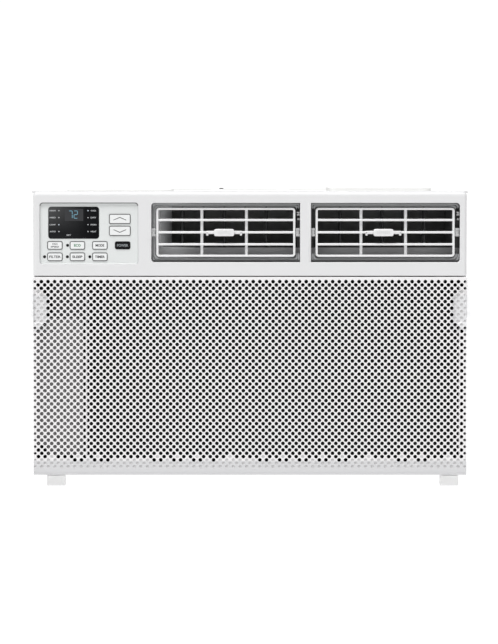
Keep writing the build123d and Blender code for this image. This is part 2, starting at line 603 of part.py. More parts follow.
def grommet_places():
    """Rubber mounts at three corners of the compressor's foot."""
    return [(COMPRESSOR_X - 62, COMPRESSOR_Y - 62), (COMPRESSOR_X + 62, COMPRESSOR_Y - 62),
            (COMPRESSOR_X, COMPRESSOR_Y + 76)]


def compressor_grommets():
    """Rubber mounts, one solid each, from the base pan up through the compressor's foot."""
    rubbers = []
    for x, y in grommet_places():
        rubber = rod_z(x, y, PAN_Z1, COMPRESSOR_Z0 - 6, 11)
        rubber += rod_z(x, y, PAN_Z1, COMPRESSOR_Z0 + 4, 6.4)
        rubbers.append(rubber)
    return rubbers


def accumulator():
    """Suction accumulator strapped in front of the compressor."""
    can = rod_z(ACCUMULATOR_X, ACCUMULATOR_Y, 80, 250, ACCUMULATOR_R)
    can = fillet(can.edges(), 12)
    strap_y1 = COMPRESSOR_Y - COMPRESSOR_R
    return can + block(ACCUMULATOR_X - 12, ACCUMULATOR_X + 12, ACCUMULATOR_Y + 20, strap_y1, 180, 200)


def refrigerant_tubes():
    """Suction and discharge lines between the compressor, the accumulator and the two coils."""
    cond_y = (COND_Y0 + COND_Y1) / 2
    evap_y = (EVAP_Y0 + EVAP_Y1) / 2
    discharge = pipe(
        [
            (COMPRESSOR_X, COMPRESSOR_Y, COMPRESSOR_Z1 + 18),
            (COMPRESSOR_X, COMPRESSOR_Y, 380),
            (-304, COMPRESSOR_Y, 380),
            (-304, cond_y, 380),
            (-304, cond_y, COND_PORT_Z),
            (-COND_HALF_W, cond_y, COND_PORT_Z),
        ],
        4.0, 14,
    )
    suction = pipe(
        [
            (ACCUMULATOR_X, ACCUMULATOR_Y, 250),
            (ACCUMULATOR_X, ACCUMULATOR_Y, SUCTION_Z),
            (SUCTION_X, ACCUMULATOR_Y, SUCTION_Z),
            (SUCTION_X, evap_y, SUCTION_Z),
            (SUCTION_X, evap_y, EVAP_PORT_Z),
            (EVAP_X0, evap_y, EVAP_PORT_Z),
        ],
        4.5, 13,
    )
    return [discharge, suction]


def capillary_tube():
    """Drier and the coiled capillary that feeds the evaporator, as one closed coil shape."""
    drier = fillet(rod_z(-285, 120, 120, 210, 10).edges(), 6)
    turns = rod_z(-285, 170, 130, 165, 22) - rod_z(-285, 170, 120, 180, 18)
    return [drier, turns]


# ---------------------------------------------------------------- electrics

def control_box():
    """Electrical box beside the discharge duct, open towards the control board."""
    box = block(-316, -158, -312, -262, 332, 436)
    return box - block(-314, -160, -320, -264, 334, 434)


def run_capacitor():
    """Oval run capacitor clipped to the partition."""
    return plate(-300, -245, PARTITION_Y1, PARTITION_Y1 + 60, 330, 362, 15.5)


def cord_gland():
    """Cord inlet through the front's underside, with its throat open."""
    gland = rod_z(GLAND_X, GLAND_Y, FOOT_H - 3, FOOT_H, GLAND_R + 2.5)
    gland += rod_z(GLAND_X, GLAND_Y, FOOT_H - 1, FOOT_H + WALL + 4, GLAND_R)
    return gland - rod_z(GLAND_X, GLAND_Y, 0, 50, GLAND_BORE_R)


# ---------------------------------------------------------------- cabinet and base

def cabinet():
    """Sheet-metal wrap: top and two sides, stamped embosses on top, louver slots to the rear."""
    wrap = block(-CABINET_HALF_W, CABINET_HALF_W, FASCIA_BACK_Y, CABINET_Y1, CABINET_Z0, CABINET_Z1)
    inner = CABINET_HALF_W - SHEET
    wrap -= block(-inner, inner, -300, 400, 0, CABINET_Z1 - SHEET)
    for x0, x1, rise in EMBOSSES:
        pad = block(x0, x1, EMBOSS_Y0, EMBOSS_Y1, CABINET_Z1 - SHEET, CABINET_Z1 + rise)
        pad = fillet(pad.edges().filter_by(Axis.Z), 12)
        wrap += pad
        wrap -= block(x0 + 4, x1 - 4, EMBOSS_Y0 + 4, EMBOSS_Y1 - 4, CABINET_Z1 - 5, CABINET_Z1 + rise - SHEET)
    side_slots = [
        block(-400, 400, y0, y0 + 62, 110 + row * 20, 115 + row * 20)
        for y0 in (60, 134, 208)
        for row in range(12)
    ]
    top_slots = [
        block(x0, x0 + 90, 70 + row * 20, 75 + row * 20, 430, 460)
        for x0 in (-265, -155, -45, 65, 175)
        for row in range(8)
    ]
    wrap -= side_slots
    wrap -= top_slots
    for _, x, y, z in side_screws():
        wrap -= rod_x(x - 5, x + 5, y, z, SCREW_R + 0.15)
    return wrap


def side_screws():
    """Direction, x, y and z of the screws that hold the cabinet to the base pan's rim."""
    return [(side, side * CABINET_HALF_W, y, 34.0) for side in (-1, 1) for y in (-200, 0, 200, 310)]


def cabinet_screws():
    """Pan-head screws, one solid each."""
    screws = []
    for side, x, y, z in side_screws():
        head = rod_x(x, x + side * 2.2, y, z, SCREW_HEAD_R)
        screws.append(head + rod_x(x - side * 6, x + side, y, z, SCREW_R))
    return screws


def base_pan():
    """Pressed base pan: floor, rim, bolt holes for a window bracket and the drain hole."""
    pan = block(-PAN_HALF_W, PAN_HALF_W, FASCIA_BACK_Y, CABINET_Y1, FOOT_H, PAN_Z1)
    outer = block(-PAN_HALF_W, PAN_HALF_W, FASCIA_BACK_Y + 1, CABINET_Y1, FOOT_H, PAN_RIM_Z)
    lip = SHEET * 1.25
    pan += outer - block(-PAN_HALF_W + lip, PAN_HALF_W - lip, -400, CABINET_Y1 - lip, PAN_Z1, PAN_RIM_Z + 1)
    for sx, sy in corners():
        pan -= rod_z(sx * BOLT_HALF_X, sy * BOLT_HALF_Y, 0, 30, BOLT_R)
    pan -= rod_z(DRAIN_X, DRAIN_Y, 0, 30, DRAIN_R + 2)
    for _, x, y, z in side_screws():
        pan -= rod_x(x - 8, x + 8, y, z, SCREW_R + 0.05)
    return pan


def drain_spout():
    """Drain nipple pressed into the pan, open right through."""
    spout = rod_z(DRAIN_X, DRAIN_Y, 4, PAN_Z1, DRAIN_R + 2)
    spout += rod_z(DRAIN_X, DRAIN_Y, 12, FOOT_H, DRAIN_R + 5)
    return spout - rod_z(DRAIN_X, DRAIN_Y, 0, 30, DRAIN_R)


def feet():
    """Four feet under the base pan, one solid each."""
    pads = []
    for x in FEET_X:
        for y in FEET_Y:
            foot = block(x - FOOT_W / 2, x + FOOT_W / 2, y - FOOT_D / 2, y + FOOT_D / 2, 0, FOOT_H)
            foot = fillet(foot.edges().filter_by(Axis.Z), 3)
            pads.append(foot - block(-400, 400, -400, BAY_Y - 1, FOOT_H - FOOT_STEP, FOOT_H + 1))
    return pads


def rear_guard():
    """Rear frame with bars across the condenser coil."""
    y0 = CABINET_Y1
    guard = block(-CABINET_HALF_W, CABINET_HALF_W, y0, REAR_Y, CABINET_Z0, CABINET_Z1)
    openings = [
        block(x0, x0 + GUARD_SLOT_W, y0 - 1, REAR_Y + 1, 56 + row * 26, 76 + row * 26)
        for x0 in (-290, -94, 102)
        for row in range(14)
    ]
    return guard - openings


# ---------------------------------------------------------------- writing

def all_nodes():
    """Every sub-part by name."""
    nodes = {
        "fascia": fascia(),
        "front_grille": front_grille(),
        "air_filter": air_filter(),
        "control_overlay": control_overlay(),
        "display_window": display_window(),
        "indicator_lights": indicator_lights(),
        "control_board": control_board(),
        "outlet_duct": outlet_duct(),
        "blower_scroll": blower_scroll(),
        "blower_wheel": blower_wheel(),
        "fan_motor": fan_motor(),
        "motor_shaft": motor_shaft(),
        "motor_bracket": motor_bracket(),
        "partition": partition(),
        "condenser_shroud": condenser_shroud(),
        "condenser_fan": condenser_fan(),
        "condenser_coil": condenser_coil(),
        "evaporator_coil": evaporator_coil(),
        "compressor": compressor(),
        "compressor_grommets": compressor_grommets(),
        "accumulator": accumulator(),
        "refrigerant_tubes": refrigerant_tubes(),
        "capillary_tube": capillary_tube(),
        "control_box": control_box(),
        "run_capacitor": run_capacitor(),
        "cord_gland": cord_gland(),
        "cabinet": cabinet(),
        "cabinet_screws": cabinet_screws(),
        "base_pan": base_pan(),
        "drain_spout": drain_spout(),
        "feet": feet(),
        "rear_guard": rear_guard(),
    }
    for name, x, z, width, height in button_places():
        nodes[name] = key(x, z, width, height)
    for side in VENTS:
        nodes[f"louver_{side}"] = louver(side)
        nodes[f"thumb_tab_{side}"] = thumb_tab(side)
        nodes[f"vane_link_{side}"] = vane_link(side)
        for number, x in enumerate(vane_places(side), 1):
            nodes[f"vane_{side}_{number}"] = vane(x)
    return nodes


def write(name, shape):
    """One STEP file for each node."""
    solids = shape if isinstance(shape, list) else [shape]
    whole = Compound(children=[solid for piece in solids for solid in piece.solids()])
    whole.label = name
    export_step(whole, f"parts/{name}.step")


os.makedirs("parts", exist_ok=True)
for node_name, node_shape in all_nodes().items():
    write(node_name, node_shape)
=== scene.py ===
import math

import bmesh
import bpy
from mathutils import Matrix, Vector


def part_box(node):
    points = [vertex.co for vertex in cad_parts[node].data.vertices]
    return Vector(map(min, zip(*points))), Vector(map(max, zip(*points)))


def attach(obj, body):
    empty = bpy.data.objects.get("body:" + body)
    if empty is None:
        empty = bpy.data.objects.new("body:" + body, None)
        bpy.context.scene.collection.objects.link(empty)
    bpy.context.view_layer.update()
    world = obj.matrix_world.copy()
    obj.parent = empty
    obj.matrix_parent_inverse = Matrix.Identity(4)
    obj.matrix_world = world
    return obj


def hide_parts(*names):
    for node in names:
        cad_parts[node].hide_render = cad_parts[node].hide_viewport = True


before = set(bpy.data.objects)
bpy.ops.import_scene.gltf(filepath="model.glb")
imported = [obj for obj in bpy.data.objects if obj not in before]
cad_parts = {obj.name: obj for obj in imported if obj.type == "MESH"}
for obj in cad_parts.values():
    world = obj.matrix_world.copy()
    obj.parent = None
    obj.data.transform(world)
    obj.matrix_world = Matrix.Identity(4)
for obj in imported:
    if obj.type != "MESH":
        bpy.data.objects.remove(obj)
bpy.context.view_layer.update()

# Window air conditioner. The front faces -Y, X runs across the front, Z is up. Pieces are built in
# millimetres and scaled to metres by piece(); the camera, the lights and the shaders work in metres.
MM = 0.001

# ---------------------------------------------------------------- view
VIEW_HEIGHT = 0.9744        # height of the picture in the plane of the front
VIEW_DISTANCE = 4.3         # from the camera to the front
VIEW_X, VIEW_Z = -0.0014, 0.2496
EYE_Z = 0.495               # the camera looks just over the top of the unit
VIEW_SHIFT = 0.11           # share of the picture's height that the lens is shifted down
SENSOR = 36.0
BACKDROP = 1.05             # brightness of the backdrop where the camera sees it
SKY = 0.42                  # light from all round
KEY_LIGHT, REAR_LIGHT = 2.9, 0.6
TABLE_GLOW = 0.88           # the pale floor is a lit table, so shadows on it stay faint

# ---------------------------------------------------------------- perforated grille
HOLE_PITCH = 10.011
HALF_PITCH = HOLE_PITCH / 2
HOLE_R = 2.92
HOLE_BACK_R = 3.12          # the holes widen to the back, as moulded ones do
HOLE_ROWS = 57
HOLE_COLUMNS = 66
HOLE_TOP_Z = 310.65
RIM_POINTS = 12             # round a hole at the front; half as many at the back
BLIND_SHARE = 0.86          # a dimple is smaller than a hole
DIMPLE = 1.1
LOWEST_HOLES = (6, 7, 9, 10, 11, 18, 19, 21, 22, 24, 25, 27, 34, 35, 37, 38, 40, 41, 43, 44, 46, 47,
                55, 56, 58, 59)
LOWEST_DIMPLES = (2, 6, 9, 18, 21, 24, 29, 34, 37, 40, 43, 46, 50, 55, 58, 62)
SKIN = 2.4
HALF_WIDTH = 328.0
FLAT_X = 327.7              # edge of the flat face
NOTCH_EDGES = (298.2, 290.8, -290.8, -298.2)
NOTCH_LEVEL = 4             # the level of the tray where its notches for the hinge lugs begin
FLAT_Z0, FLAT_Z1 = 24.9, 316.9
GRIP_DEPTH = 2.0
HINGE_Y, HINGE_Z = -328.0, 23.0
TAB_LOW_Z = 256.0           # lower end of the finger tabs

# ---------------------------------------------------------------- louvers
BAR = 3.4
BAR_Z = (18.6, 0.0, -18.2)
RIB_W = 4.4
RIB_X = 33.75
TAB_X = -2.6
TAB_CROWN = 0.9             # rise of the tab's upper edge towards its middle
PIVOT = Vector((0, -322.0, 385.1))
PIN_LENGTH = 9.5
PIN_R = 2.5
EAR_X0, EAR_X1 = 23.8, 27.2     # the tab's end stops, from its middle
VENT_Z0, VENT_Z1 = 340.0, 429.6
VENTS = (("left", -149.0, 75.8), ("right", 92.4, 317.3))


# ================================================================ materials

class Surface:
    """A principled material with a few helpers for its node tree."""

    def __init__(self, name, color, roughness, metallic=0.0, specular=0.5, coat=0.0, coat_roughness=0.1):
        self.material = bpy.data.materials.new(name)
        self.material.use_nodes = True
        self.tree = self.material.node_tree
        self.shader = self.tree.nodes["Principled BSDF"]
        self.color = (*color, 1.0)
        self.set("Base Color", self.color)
        self.set("Roughness", roughness)
        self.set("Metallic", metallic)
        self.set("Specular IOR Level", specular)
        self.set("Coat Weight", coat)
        self.set("Coat Roughness", coat_roughness)
        self.roughness = roughness
        self.height = None

    def set(self, socket, value):
        self.shader.inputs[socket].default_value = value

    def node(self, kind, **inputs):
        made = self.tree.nodes.new(kind)
        for name, value in inputs.items():
            made.inputs[name.replace("_", " ")].default_value = value
        return made

    def link(self, source, target):
        self.tree.links.new(source, target)

    def axes(self):
        """Object coordinates as separate X, Y and Z outputs."""
        place = self.node("ShaderNodeSeparateXYZ")
        self.link(self.position(), place.inputs["Vector"])
        return place.outputs

    def product(self, first, second):
        made = self.node("ShaderNodeMath")
        made.operation = "MULTIPLY"
        self.link(first, made.inputs[0])
        self.link(second, made.inputs[1])
        return made.outputs["Value"]

    def position(self, scale=(1, 1, 1)):
        """Object coordinates, which are metres in the part's own frame."""
        coordinates = self.node("ShaderNodeTexCoord")
        mapping = self.node("ShaderNodeMapping")
        mapping.inputs["Scale"].default_value = scale
        self.link(coordinates.outputs["Object"], mapping.inputs["Vector"])
        return mapping.outputs["Vector"]

    def noise(self, scale, detail=3.0, stretch=(1, 1, 1)):
        made = self.node("ShaderNodeTexNoise", Scale=scale, Detail=detail)
        self.link(self.position(stretch), made.inputs["Vector"])
        return made.outputs["Fac"]

    def cells(self, scale, stretch=(1, 1, 1), feature="F1", output="Distance"):
        made = self.node("ShaderNodeTexVoronoi", Scale=scale)
        made.feature = feature
        self.link(self.position(stretch), made.inputs["Vector"])
        return made.outputs[output]

    def remap(self, value, low, high, start=0.3, stop=0.7):
        made = self.node("ShaderNodeMapRange")
        made.inputs["From Min"].default_value = start
        made.inputs["From Max"].default_value = stop
        made.inputs["To Min"].default_value = low
        made.inputs["To Max"].default_value = high
        self.link(value, made.inputs["Value"])
        return made.outputs["Result"]

    def zone(self, low, high, fade, other):
        """Tint the part of the surface between two (x, z) corners, softly over the fade."""
        place = self.axes()
        mask = None
        for axis, near, far in (("X", low[0], high[0]), ("Z", low[1], high[1])):
            for start, stop in ((near - fade, near), (far + fade, far)):
                ramp = self.remap(place[axis], 0.0, 1.0, start, stop)
                mask = self.product(mask, ramp) if mask else ramp
        self.tint(mask, other)

    def tint(self, value, other):
        """Vary the base colour towards another one, where value goes from 0 to 1."""
        mix = self.node("ShaderNodeMix")
        mix.data_type = "RGBA"
        previous = self.shader.inputs["Base Color"]
        if previous.is_linked:
            self.link(previous.links[0].from_socket, mix.inputs[6])
        else:
            mix.inputs[6].default_value = self.color
        mix.inputs[7].default_value = (*other, 1.0)
        self.link(value, mix.inputs[0])
        self.link(mix.outputs[2], previous)

    def rough(self, value, spread):
        low = max(self.roughness - spread, 0.02)
        self.link(self.remap(value, low, self.roughness + spread), self.shader.inputs["Roughness"])

    def bump(self, value, depth, strength=1.0):
        """Relief of a given depth in metres, on top of any relief already there."""
        made = self.node("ShaderNodeBump", Strength=strength, Distance=depth)
        self.link(value, made.inputs["Height"])
        previous = self.shader.inputs["Normal"]
        if previous.is_linked:
            self.link(previous.links[0].from_socket, made.inputs["Normal"])
        self.link(made.outputs["Normal"], previous)


def moulded(name, color, shade, roughness, grain=2600.0, depth=0.00002, specular=0.5, shade_zones=()):
    """Injection-moulded plastic: fine spark grain, faint flow marks, uneven gloss, and any zones of painted
    shade.
    """
    surface = Surface(name, color, roughness, specular=specular, coat_roughness=0.25)
    surface.tint(surface.remap(surface.noise(7.0, 4.0), 0.0, 0.5), shade)
    surface.tint(surface.remap(surface.noise(60.0, 2.0, (1, 1, 0.2)), 0.0, 0.2), shade)
    for low, high, fade, other in shade_zones:
        surface.zone(low, high, fade, other)
    surface.rough(surface.noise(45.0, 5.0), 0.06)
    surface.bump(surface.noise(grain, 2.0), depth, 0.35)
    surface.bump(surface.noise(30.0, 2.0), 0.0002, 0.08)
    return surface.material


def plain(name, color, shade, roughness, marks, gloss, *reliefs, **looks):
    """Uneven tint (noise, share, and its range), uneven gloss (noise, spread) and relief (noise, depth,
    strength)."""
    surface = Surface(name, color, roughness, **looks)
    surface.tint(surface.remap(surface.noise(*marks[0]), 0.0, *marks[1:]), shade)
    surface.rough(surface.noise(*gloss[0]), gloss[1])
    for noise, depth, strength in reliefs:
        surface.bump(surface.noise(*noise), depth, strength)
    return surface.material


def zinc(name, color, shade, roughness):
    """Galvanised sheet with its spangle."""
    surface = Surface(name, color, roughness, metallic=0.9)
    surface.tint(surface.remap(surface.cells(90.0, output="Color"), 0.0, 0.7, 0.2, 0.8), shade)
    surface.rough(surface.cells(90.0, output="Color"), 0.1)
    surface.bump(surface.noise(300.0, 2.0), 0.00004, 0.2)
    return surface.material


def fin_stock(name, color, shade):
    """Thin aluminium strip, brushed along its length and slightly dulled."""
    return plain(name, color, shade, 0.38, ((18.0, 4.0), 0.8), ((200.0, 3.0, (1, 1, 0.1)), 0.12),
                 ((900.0, 2.0, (1, 1, 0.08)), 0.00003, 0.3), metallic=0.95)


def smoked_lens(name, color):
    """Dark lens with a painted reflection, lighter towards its upper left, and fine dust in its coat."""
    surface = Surface(name, color, 0.3, specular=0.05)
    surface.tint(surface.remap(surface.noise(22.0, 3.0), 0.0, 0.6), tuple(c * 2.0 + 0.006 for c in color))
    # Painted reflection: the lens is tinted lighter towards its upper left.
    place = surface.axes()
    across = surface.remap(place["X"], 1.0, 0.0, -0.300, -0.248)
    upwards = surface.remap(place["Z"], 0.1, 1.0, 0.385, 0.424)
    surface.tint(surface.product(across, upwards), (0.075, 0.076, 0.078))
    surface.rough(surface.noise(300.0, 4.0), 0.05)
    surface.bump(surface.noise(12.0, 1.0), 0.0002, 0.03)
    return surface.material


def ink(name, color, roughness=0.5):
    """Screen-printed ink, a little uneven in its cover."""
    surface = Surface(name, color, roughness)
    shade = tuple(min(c * 1.25 + 0.02, 1) for c in color)
    surface.tint(surface.remap(surface.noise(900.0, 3.0), 0.0, 0.3), shade)
    surface.bump(surface.noise(3000.0, 2.0), 0.00001, 0.3)
    return surface.material


def lit_segment(name, color, strength):
    surface = Surface(name, tuple(c * 0.3 for c in color), 0.4)
    surface.set("Emission Color", (*color, 1.0))
    surface.link(surface.remap(surface.noise(700.0, 2.0), strength * 0.8, strength * 1.1),
                 surface.shader.inputs["Emission Strength"])
    return surface.material


def solder_mask(name):
    """Green circuit board with darker tracks."""
    surface = Surface(name, (0.02, 0.14, 0.06), 0.35, coat=0.4, coat_roughness=0.15)
    tracks = surface.remap(surface.cells(260.0, (1, 1, 1), "DISTANCE_TO_EDGE"), 1.0, 0.0, 0.02, 0.09)
    surface.tint(tracks, (0.04, 0.26, 0.11))
    surface.rough(surface.noise(90.0, 3.0), 0.06)
    surface.bump(tracks, 0.00005, 0.5)
    return surface.material


def duct_painted_light(name, dark, lit_cheek_colour, lit_floor_colour, edge_x, fade_x, floor_z):
    """Black duct with painted light: its outer cheek, left of edge_x, and its sloped floor, below floor_z,
    are tinted pale where light falls into the opening.
    """
    surface = Surface(name, dark, 0.6, specular=0.3)
    place = surface.axes()
    # Painted light: masks for the lit outer cheek and the lit sloped floor.
    lit_cheek = surface.remap(place["X"], 1.0, 0.0, edge_x, fade_x)
    floor = surface.remap(place["Z"], 1.0, 0.0, floor_z - 0.001, floor_z)
    surface.tint(surface.remap(surface.noise(50.0, 4.0), 0.0, 0.3), tuple(c * 1.4 for c in dark))
    surface.tint(floor, lit_floor_colour)
    surface.tint(lit_cheek, lit_cheek_colour)
    surface.rough(surface.noise(80.0, 3.0), 0.08)
    surface.bump(surface.noise(1800.0, 2.0), 0.00004, 0.35)
    return surface.material


def foamed(name, color, shade):
    """Expanded foam: packed beads."""
    surface = Surface(name, color, 0.85, specular=0.2)
    beads = surface.cells(260.0)
    surface.tint(surface.remap(beads, 0.0, 0.7, 0.1, 0.6), shade)
    surface.rough(surface.noise(80.0, 3.0), 0.05)
    surface.bump(beads, 0.0004, 0.4)
    return surface.material


WHITE = moulded("white_plastic", (0.70, 0.70, 0.705), (0.675, 0.675, 0.682), 0.42)
BRIGHT = moulded("bright_plastic", (0.90, 0.90, 0.905), (0.87, 0.87, 0.875), 0.42)
# Painted shade: the grille is tinted darker on its lower edge and in its dished grip pockets, for the shade
# on them.
LOWER_EDGE_SHADE, POCKET_SHADE = (0.61, 0.61, 0.62), (0.68, 0.68, 0.69)     # the grille's lower edge and its grip pockets
GRILLE = moulded("grille_plastic", (0.80, 0.79, 0.794), (0.775, 0.762, 0.766), 0.45,
                 shade_zones=(((-1, -1), (1, 0.0385), 0.0015, LOWER_EDGE_SHADE),
                        ((-1, 0.236), (-0.305, 0.289), 0.0015, POCKET_SHADE),
                        ((0.305, 0.236), (1, 0.289), 0.0015, POCKET_SHADE)))
# Painted shade: a darker copy of the grille plastic, for the cups of the dimples.
DIMPLE_SHADE = moulded("dimple_painted_shade", (0.56, 0.555, 0.56), (0.53, 0.525, 0.53), 0.5)
KEY = moulded("key_plastic", (0.78, 0.79, 0.79), (0.75, 0.76, 0.76), 0.4)
# Painted shade: the panel plastic is tinted darker below 338.8 mm, along the lower edge of its recess, to dim
# the light its lower cove catches.
PANEL = moulded("panel_plastic", (0.69, 0.708, 0.704), (0.665, 0.684, 0.68), 0.38,
                shade_zones=(((-1, -1), (1, 0.3388), 0.0008, (0.60, 0.615, 0.61)),))
FOOT = moulded("foot_plastic", (0.95, 0.95, 0.945), (0.91, 0.91, 0.91), 0.55)
# Painted highlight: a lighter copy of the white plastic, for the light the louver bars catch; the thumb pads
# share it.
LOUVER_HIGHLIGHT = moulded("louver_painted_highlight", (0.76, 0.76, 0.763), (0.73, 0.73, 0.735), 0.4)
# Painted shade: the vent lip's grey stands in for the shadow inside the opening, and its zones paint a darker
# shadow line along the bottom and down the left side of the left vent.
VENT_LIP_SHADE = moulded("vent_lip_painted_shade", (0.34, 0.345, 0.35), (0.28, 0.285, 0.29), 0.5, 1800.0, 0.00004,
              shade_zones=(((-1, -1), (1, 0.3422), 0.002, (0.035, 0.035, 0.036)),
                     ((-1, -1), (-0.1472, 1), 0.0008, (0.11, 0.112, 0.115))))
# Painted shadow: a near-black strip along the top of the panel's recess, where the edge above casts its
# shade.
SHADOW_LINE = moulded("painted_shadow_line", (0.07, 0.072, 0.072), (0.10, 0.102, 0.102), 0.6)
# Painted shade: a darker copy of the louver plastic, for the ribs set back behind the bars.
RIB_SHADE = moulded("rib_painted_shade", (0.72, 0.72, 0.725), (0.69, 0.69, 0.695), 0.5)
TRIM = moulded("trim_plastic", (0.50, 0.50, 0.505), (0.40, 0.40, 0.405), 0.5, 1800.0, 0.00004)
DARK = moulded("vane_plastic", (0.07, 0.07, 0.072), (0.058, 0.058, 0.06), 0.6, 1800.0, 0.00004,
               specular=0.25)
FAN = moulded("fan_plastic", (0.05, 0.05, 0.052), (0.07, 0.07, 0.073), 0.55, 1500.0, 0.00005)
SCROLL = moulded("scroll_plastic", (0.32, 0.32, 0.322), (0.26, 0.26, 0.262), 0.7, 1500.0, 0.00005)
BLACK_KEY = moulded("black_key", (0.0025, 0.0025, 0.003), (0.005, 0.005, 0.0055), 0.5, 3200.0, 0.00001,
                    specular=0.15)
PIPE = moulded("light_pipe", (0.0025, 0.0025, 0.0025), (0.006, 0.006, 0.006), 0.4, 3200.0, 0.00001,
               specular=0.15)
LENS = smoked_lens("display_lens", (0.004, 0.0042, 0.005))
# Powder coat: orange peel, and dust that has settled unevenly.
CABINET = plain("cabinet_paint", (0.86, 0.86, 0.85), (0.81, 0.81, 0.80), 0.45, ((3.5, 5.0), 0.6),
                ((20.0, 4.0), 0.08), ((420.0, 3.0), 0.00012, 0.3), ((5.0, 1.0), 0.001, 0.06),
                coat=0.15, coat_roughness=0.35)
ZINC = zinc("galvanised", (0.60, 0.62, 0.63), (0.42, 0.44, 0.46), 0.42)
STEEL = plain("steel", (0.62, 0.62, 0.63), (0.434, 0.434, 0.441), 0.28, ((30.0, 4.0), 0.5),
              ((900.0, 2.0, (1, 12, 1)), 0.1), ((1500.0, 2.0, (1, 8, 1)), 0.00002, 0.3), metallic=1.0)
FINS = fin_stock("fins", (0.78, 0.79, 0.80), (0.60, 0.62, 0.64))
BLACK_FINS = fin_stock("black_fins", (0.035, 0.036, 0.04), (0.02, 0.021, 0.024))
COPPER = plain("copper", (0.72, 0.38, 0.22), (0.42, 0.20, 0.12), 0.3, ((35.0, 6.0), 1.0, 0.45, 0.75),
               ((140.0, 3.0), 0.12), ((700.0, 2.0), 0.00003, 0.25), metallic=1.0)
# Stoved paint on a steel can.
BLACK_PAINT = plain("black_paint", (0.012, 0.012, 0.013), (0.03, 0.03, 0.032), 0.35, ((25.0, 5.0), 0.6),
                    ((40.0, 4.0), 0.1), ((260.0, 3.0), 0.0001, 0.35), coat=0.3, coat_roughness=0.2)
RUBBER = plain("rubber", (0.014, 0.014, 0.015), (0.0408, 0.0408, 0.043), 0.75, ((60.0, 5.0), 0.5),
               ((120.0, 3.0), 0.08), ((1400.0, 3.0), 0.00005, 0.5), specular=0.3)
BOARD = solder_mask("circuit_board")
SEAL = foamed("seal_foam", (0.012, 0.012, 0.012), (0.006, 0.006, 0.006))
# Painted shade: grey foam, and a darker copy for the upper pad, standing in for the shaded blank wall left of
# the coil.
PAD_SHADE = foamed("pad_painted_shade", (0.36, 0.35, 0.352), (0.30, 0.295, 0.298))
UPPER_PAD_SHADE = foamed("upper_pad_painted_shade", (0.16, 0.155, 0.158), (0.05, 0.05, 0.05))
# Painted light on the duct's outer cheek and sloped floor.
DUCT = duct_painted_light("duct_plastic", (0.10, 0.10, 0.102), (0.76, 0.76, 0.77), (0.46, 0.46, 0.47),
                  -0.112, -0.082, 0.3615)
SCREEN = moulded("filter_mesh", (0.006, 0.006, 0.0065), (0.012, 0.012, 0.013), 0.7, 1500.0, 0.00005,
                 specular=0.2)
GREY_INK = ink("grey_ink", (0.10, 0.103, 0.103))
DARK_INK = ink("dark_ink", (0.02, 0.021, 0.022))
DIM_INK = ink("dim_ink", (0.42, 0.43, 0.44))
PALE_INK = ink("pale_ink", (0.22, 0.24, 0.25))
GREEN_INK = ink("green_ink", (0.015, 0.17, 0.06))
DISPLAY_GREY = ink("display_grey", (0.014, 0.015, 0.018), 0.4)
DIGIT = lit_segment("digit", (0.22, 0.50, 0.64), 0.52)
LAMP = lit_segment("lamp", (0.75, 0.85, 0.95), 0.45)


# ================================================================ mesh tools

def box(node):
    """Corners of a CAD node's box, in millimetres."""
    return [Vector(corner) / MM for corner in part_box(node)]


def soften(bm, edges, width, segments):
    bmesh.ops.bevel(bm, geom=edges, offset=width, segments=segments, profile=0.5, affect="EDGES")


def taken(bm):
    """Vertices and faces of a bmesh, which is then freed."""
    bm.verts.ensure_lookup_table()
    bm.verts.index_update()
    verts = [tuple(v.co) for v in bm.verts]
    faces = [tuple(v.index for v in f.verts) for f in bm.faces]
    bm.free()
    return verts, faces


def rounded_box(lo, hi, radius, segments=2):
    """Box with all its edges rounded."""
    lo, hi = Vector(lo), Vector(hi)
    bm = bmesh.new()
    bmesh.ops.create_cube(bm, size=1.0)
    size = hi - lo
    for vert in bm.verts:
        vert.co = Vector(a * b for a, b in zip(vert.co, size)) + (lo + hi) / 2
    if radius:
        soften(bm, bm.edges[:], radius, segments)
    return taken(bm)


def rounded_outline(x0, x1, z0, z1, radii, steps=6):
    """Corners of a rounded rectangle, counter-clockwise seen from the front, from the lower left."""
    corners = ((x0, z0, 1, 1, 180), (x1, z0, -1, 1, 270), (x1, z1, -1, -1, 0), (x0, z1, 1, -1, 90))
    points = []
    for (x, z, sx, sz, start), radius in zip(corners, radii):
        if radius <= 0:
            points.append((x, z))
            continue
        for k in range(steps + 1):
            turn = math.radians(start + 90 * k / steps)
            points.append((x + sx * radius + radius * math.cos(turn),
                           z + sz * radius + radius * math.sin(turn)))
    return points


def prism(outline, y0, y1, bevel=0.0, segments=2):
    """Solid with a front outline in X and Z, its front and back rims rounded."""
    bm = bmesh.new()
    front = [bm.verts.new((x, y0, z)) for x, z in outline]
    back = [bm.verts.new((x, y1, z)) for x, z in outline]
    bm.faces.new(front)
    bm.faces.new(back[::-1])
    for i in range(len(outline)):
        j = (i + 1) % len(outline)
        bm.faces.new((front[i], back[i], back[j], front[j]))
    if bevel:
        rims = [e for e in bm.edges if abs(e.verts[0].co.y - e.verts[1].co.y) < 1e-9]
        soften(bm, rims, bevel, segments)
    bmesh.ops.recalc_face_normals(bm, faces=bm.faces[:])
    return taken(bm)


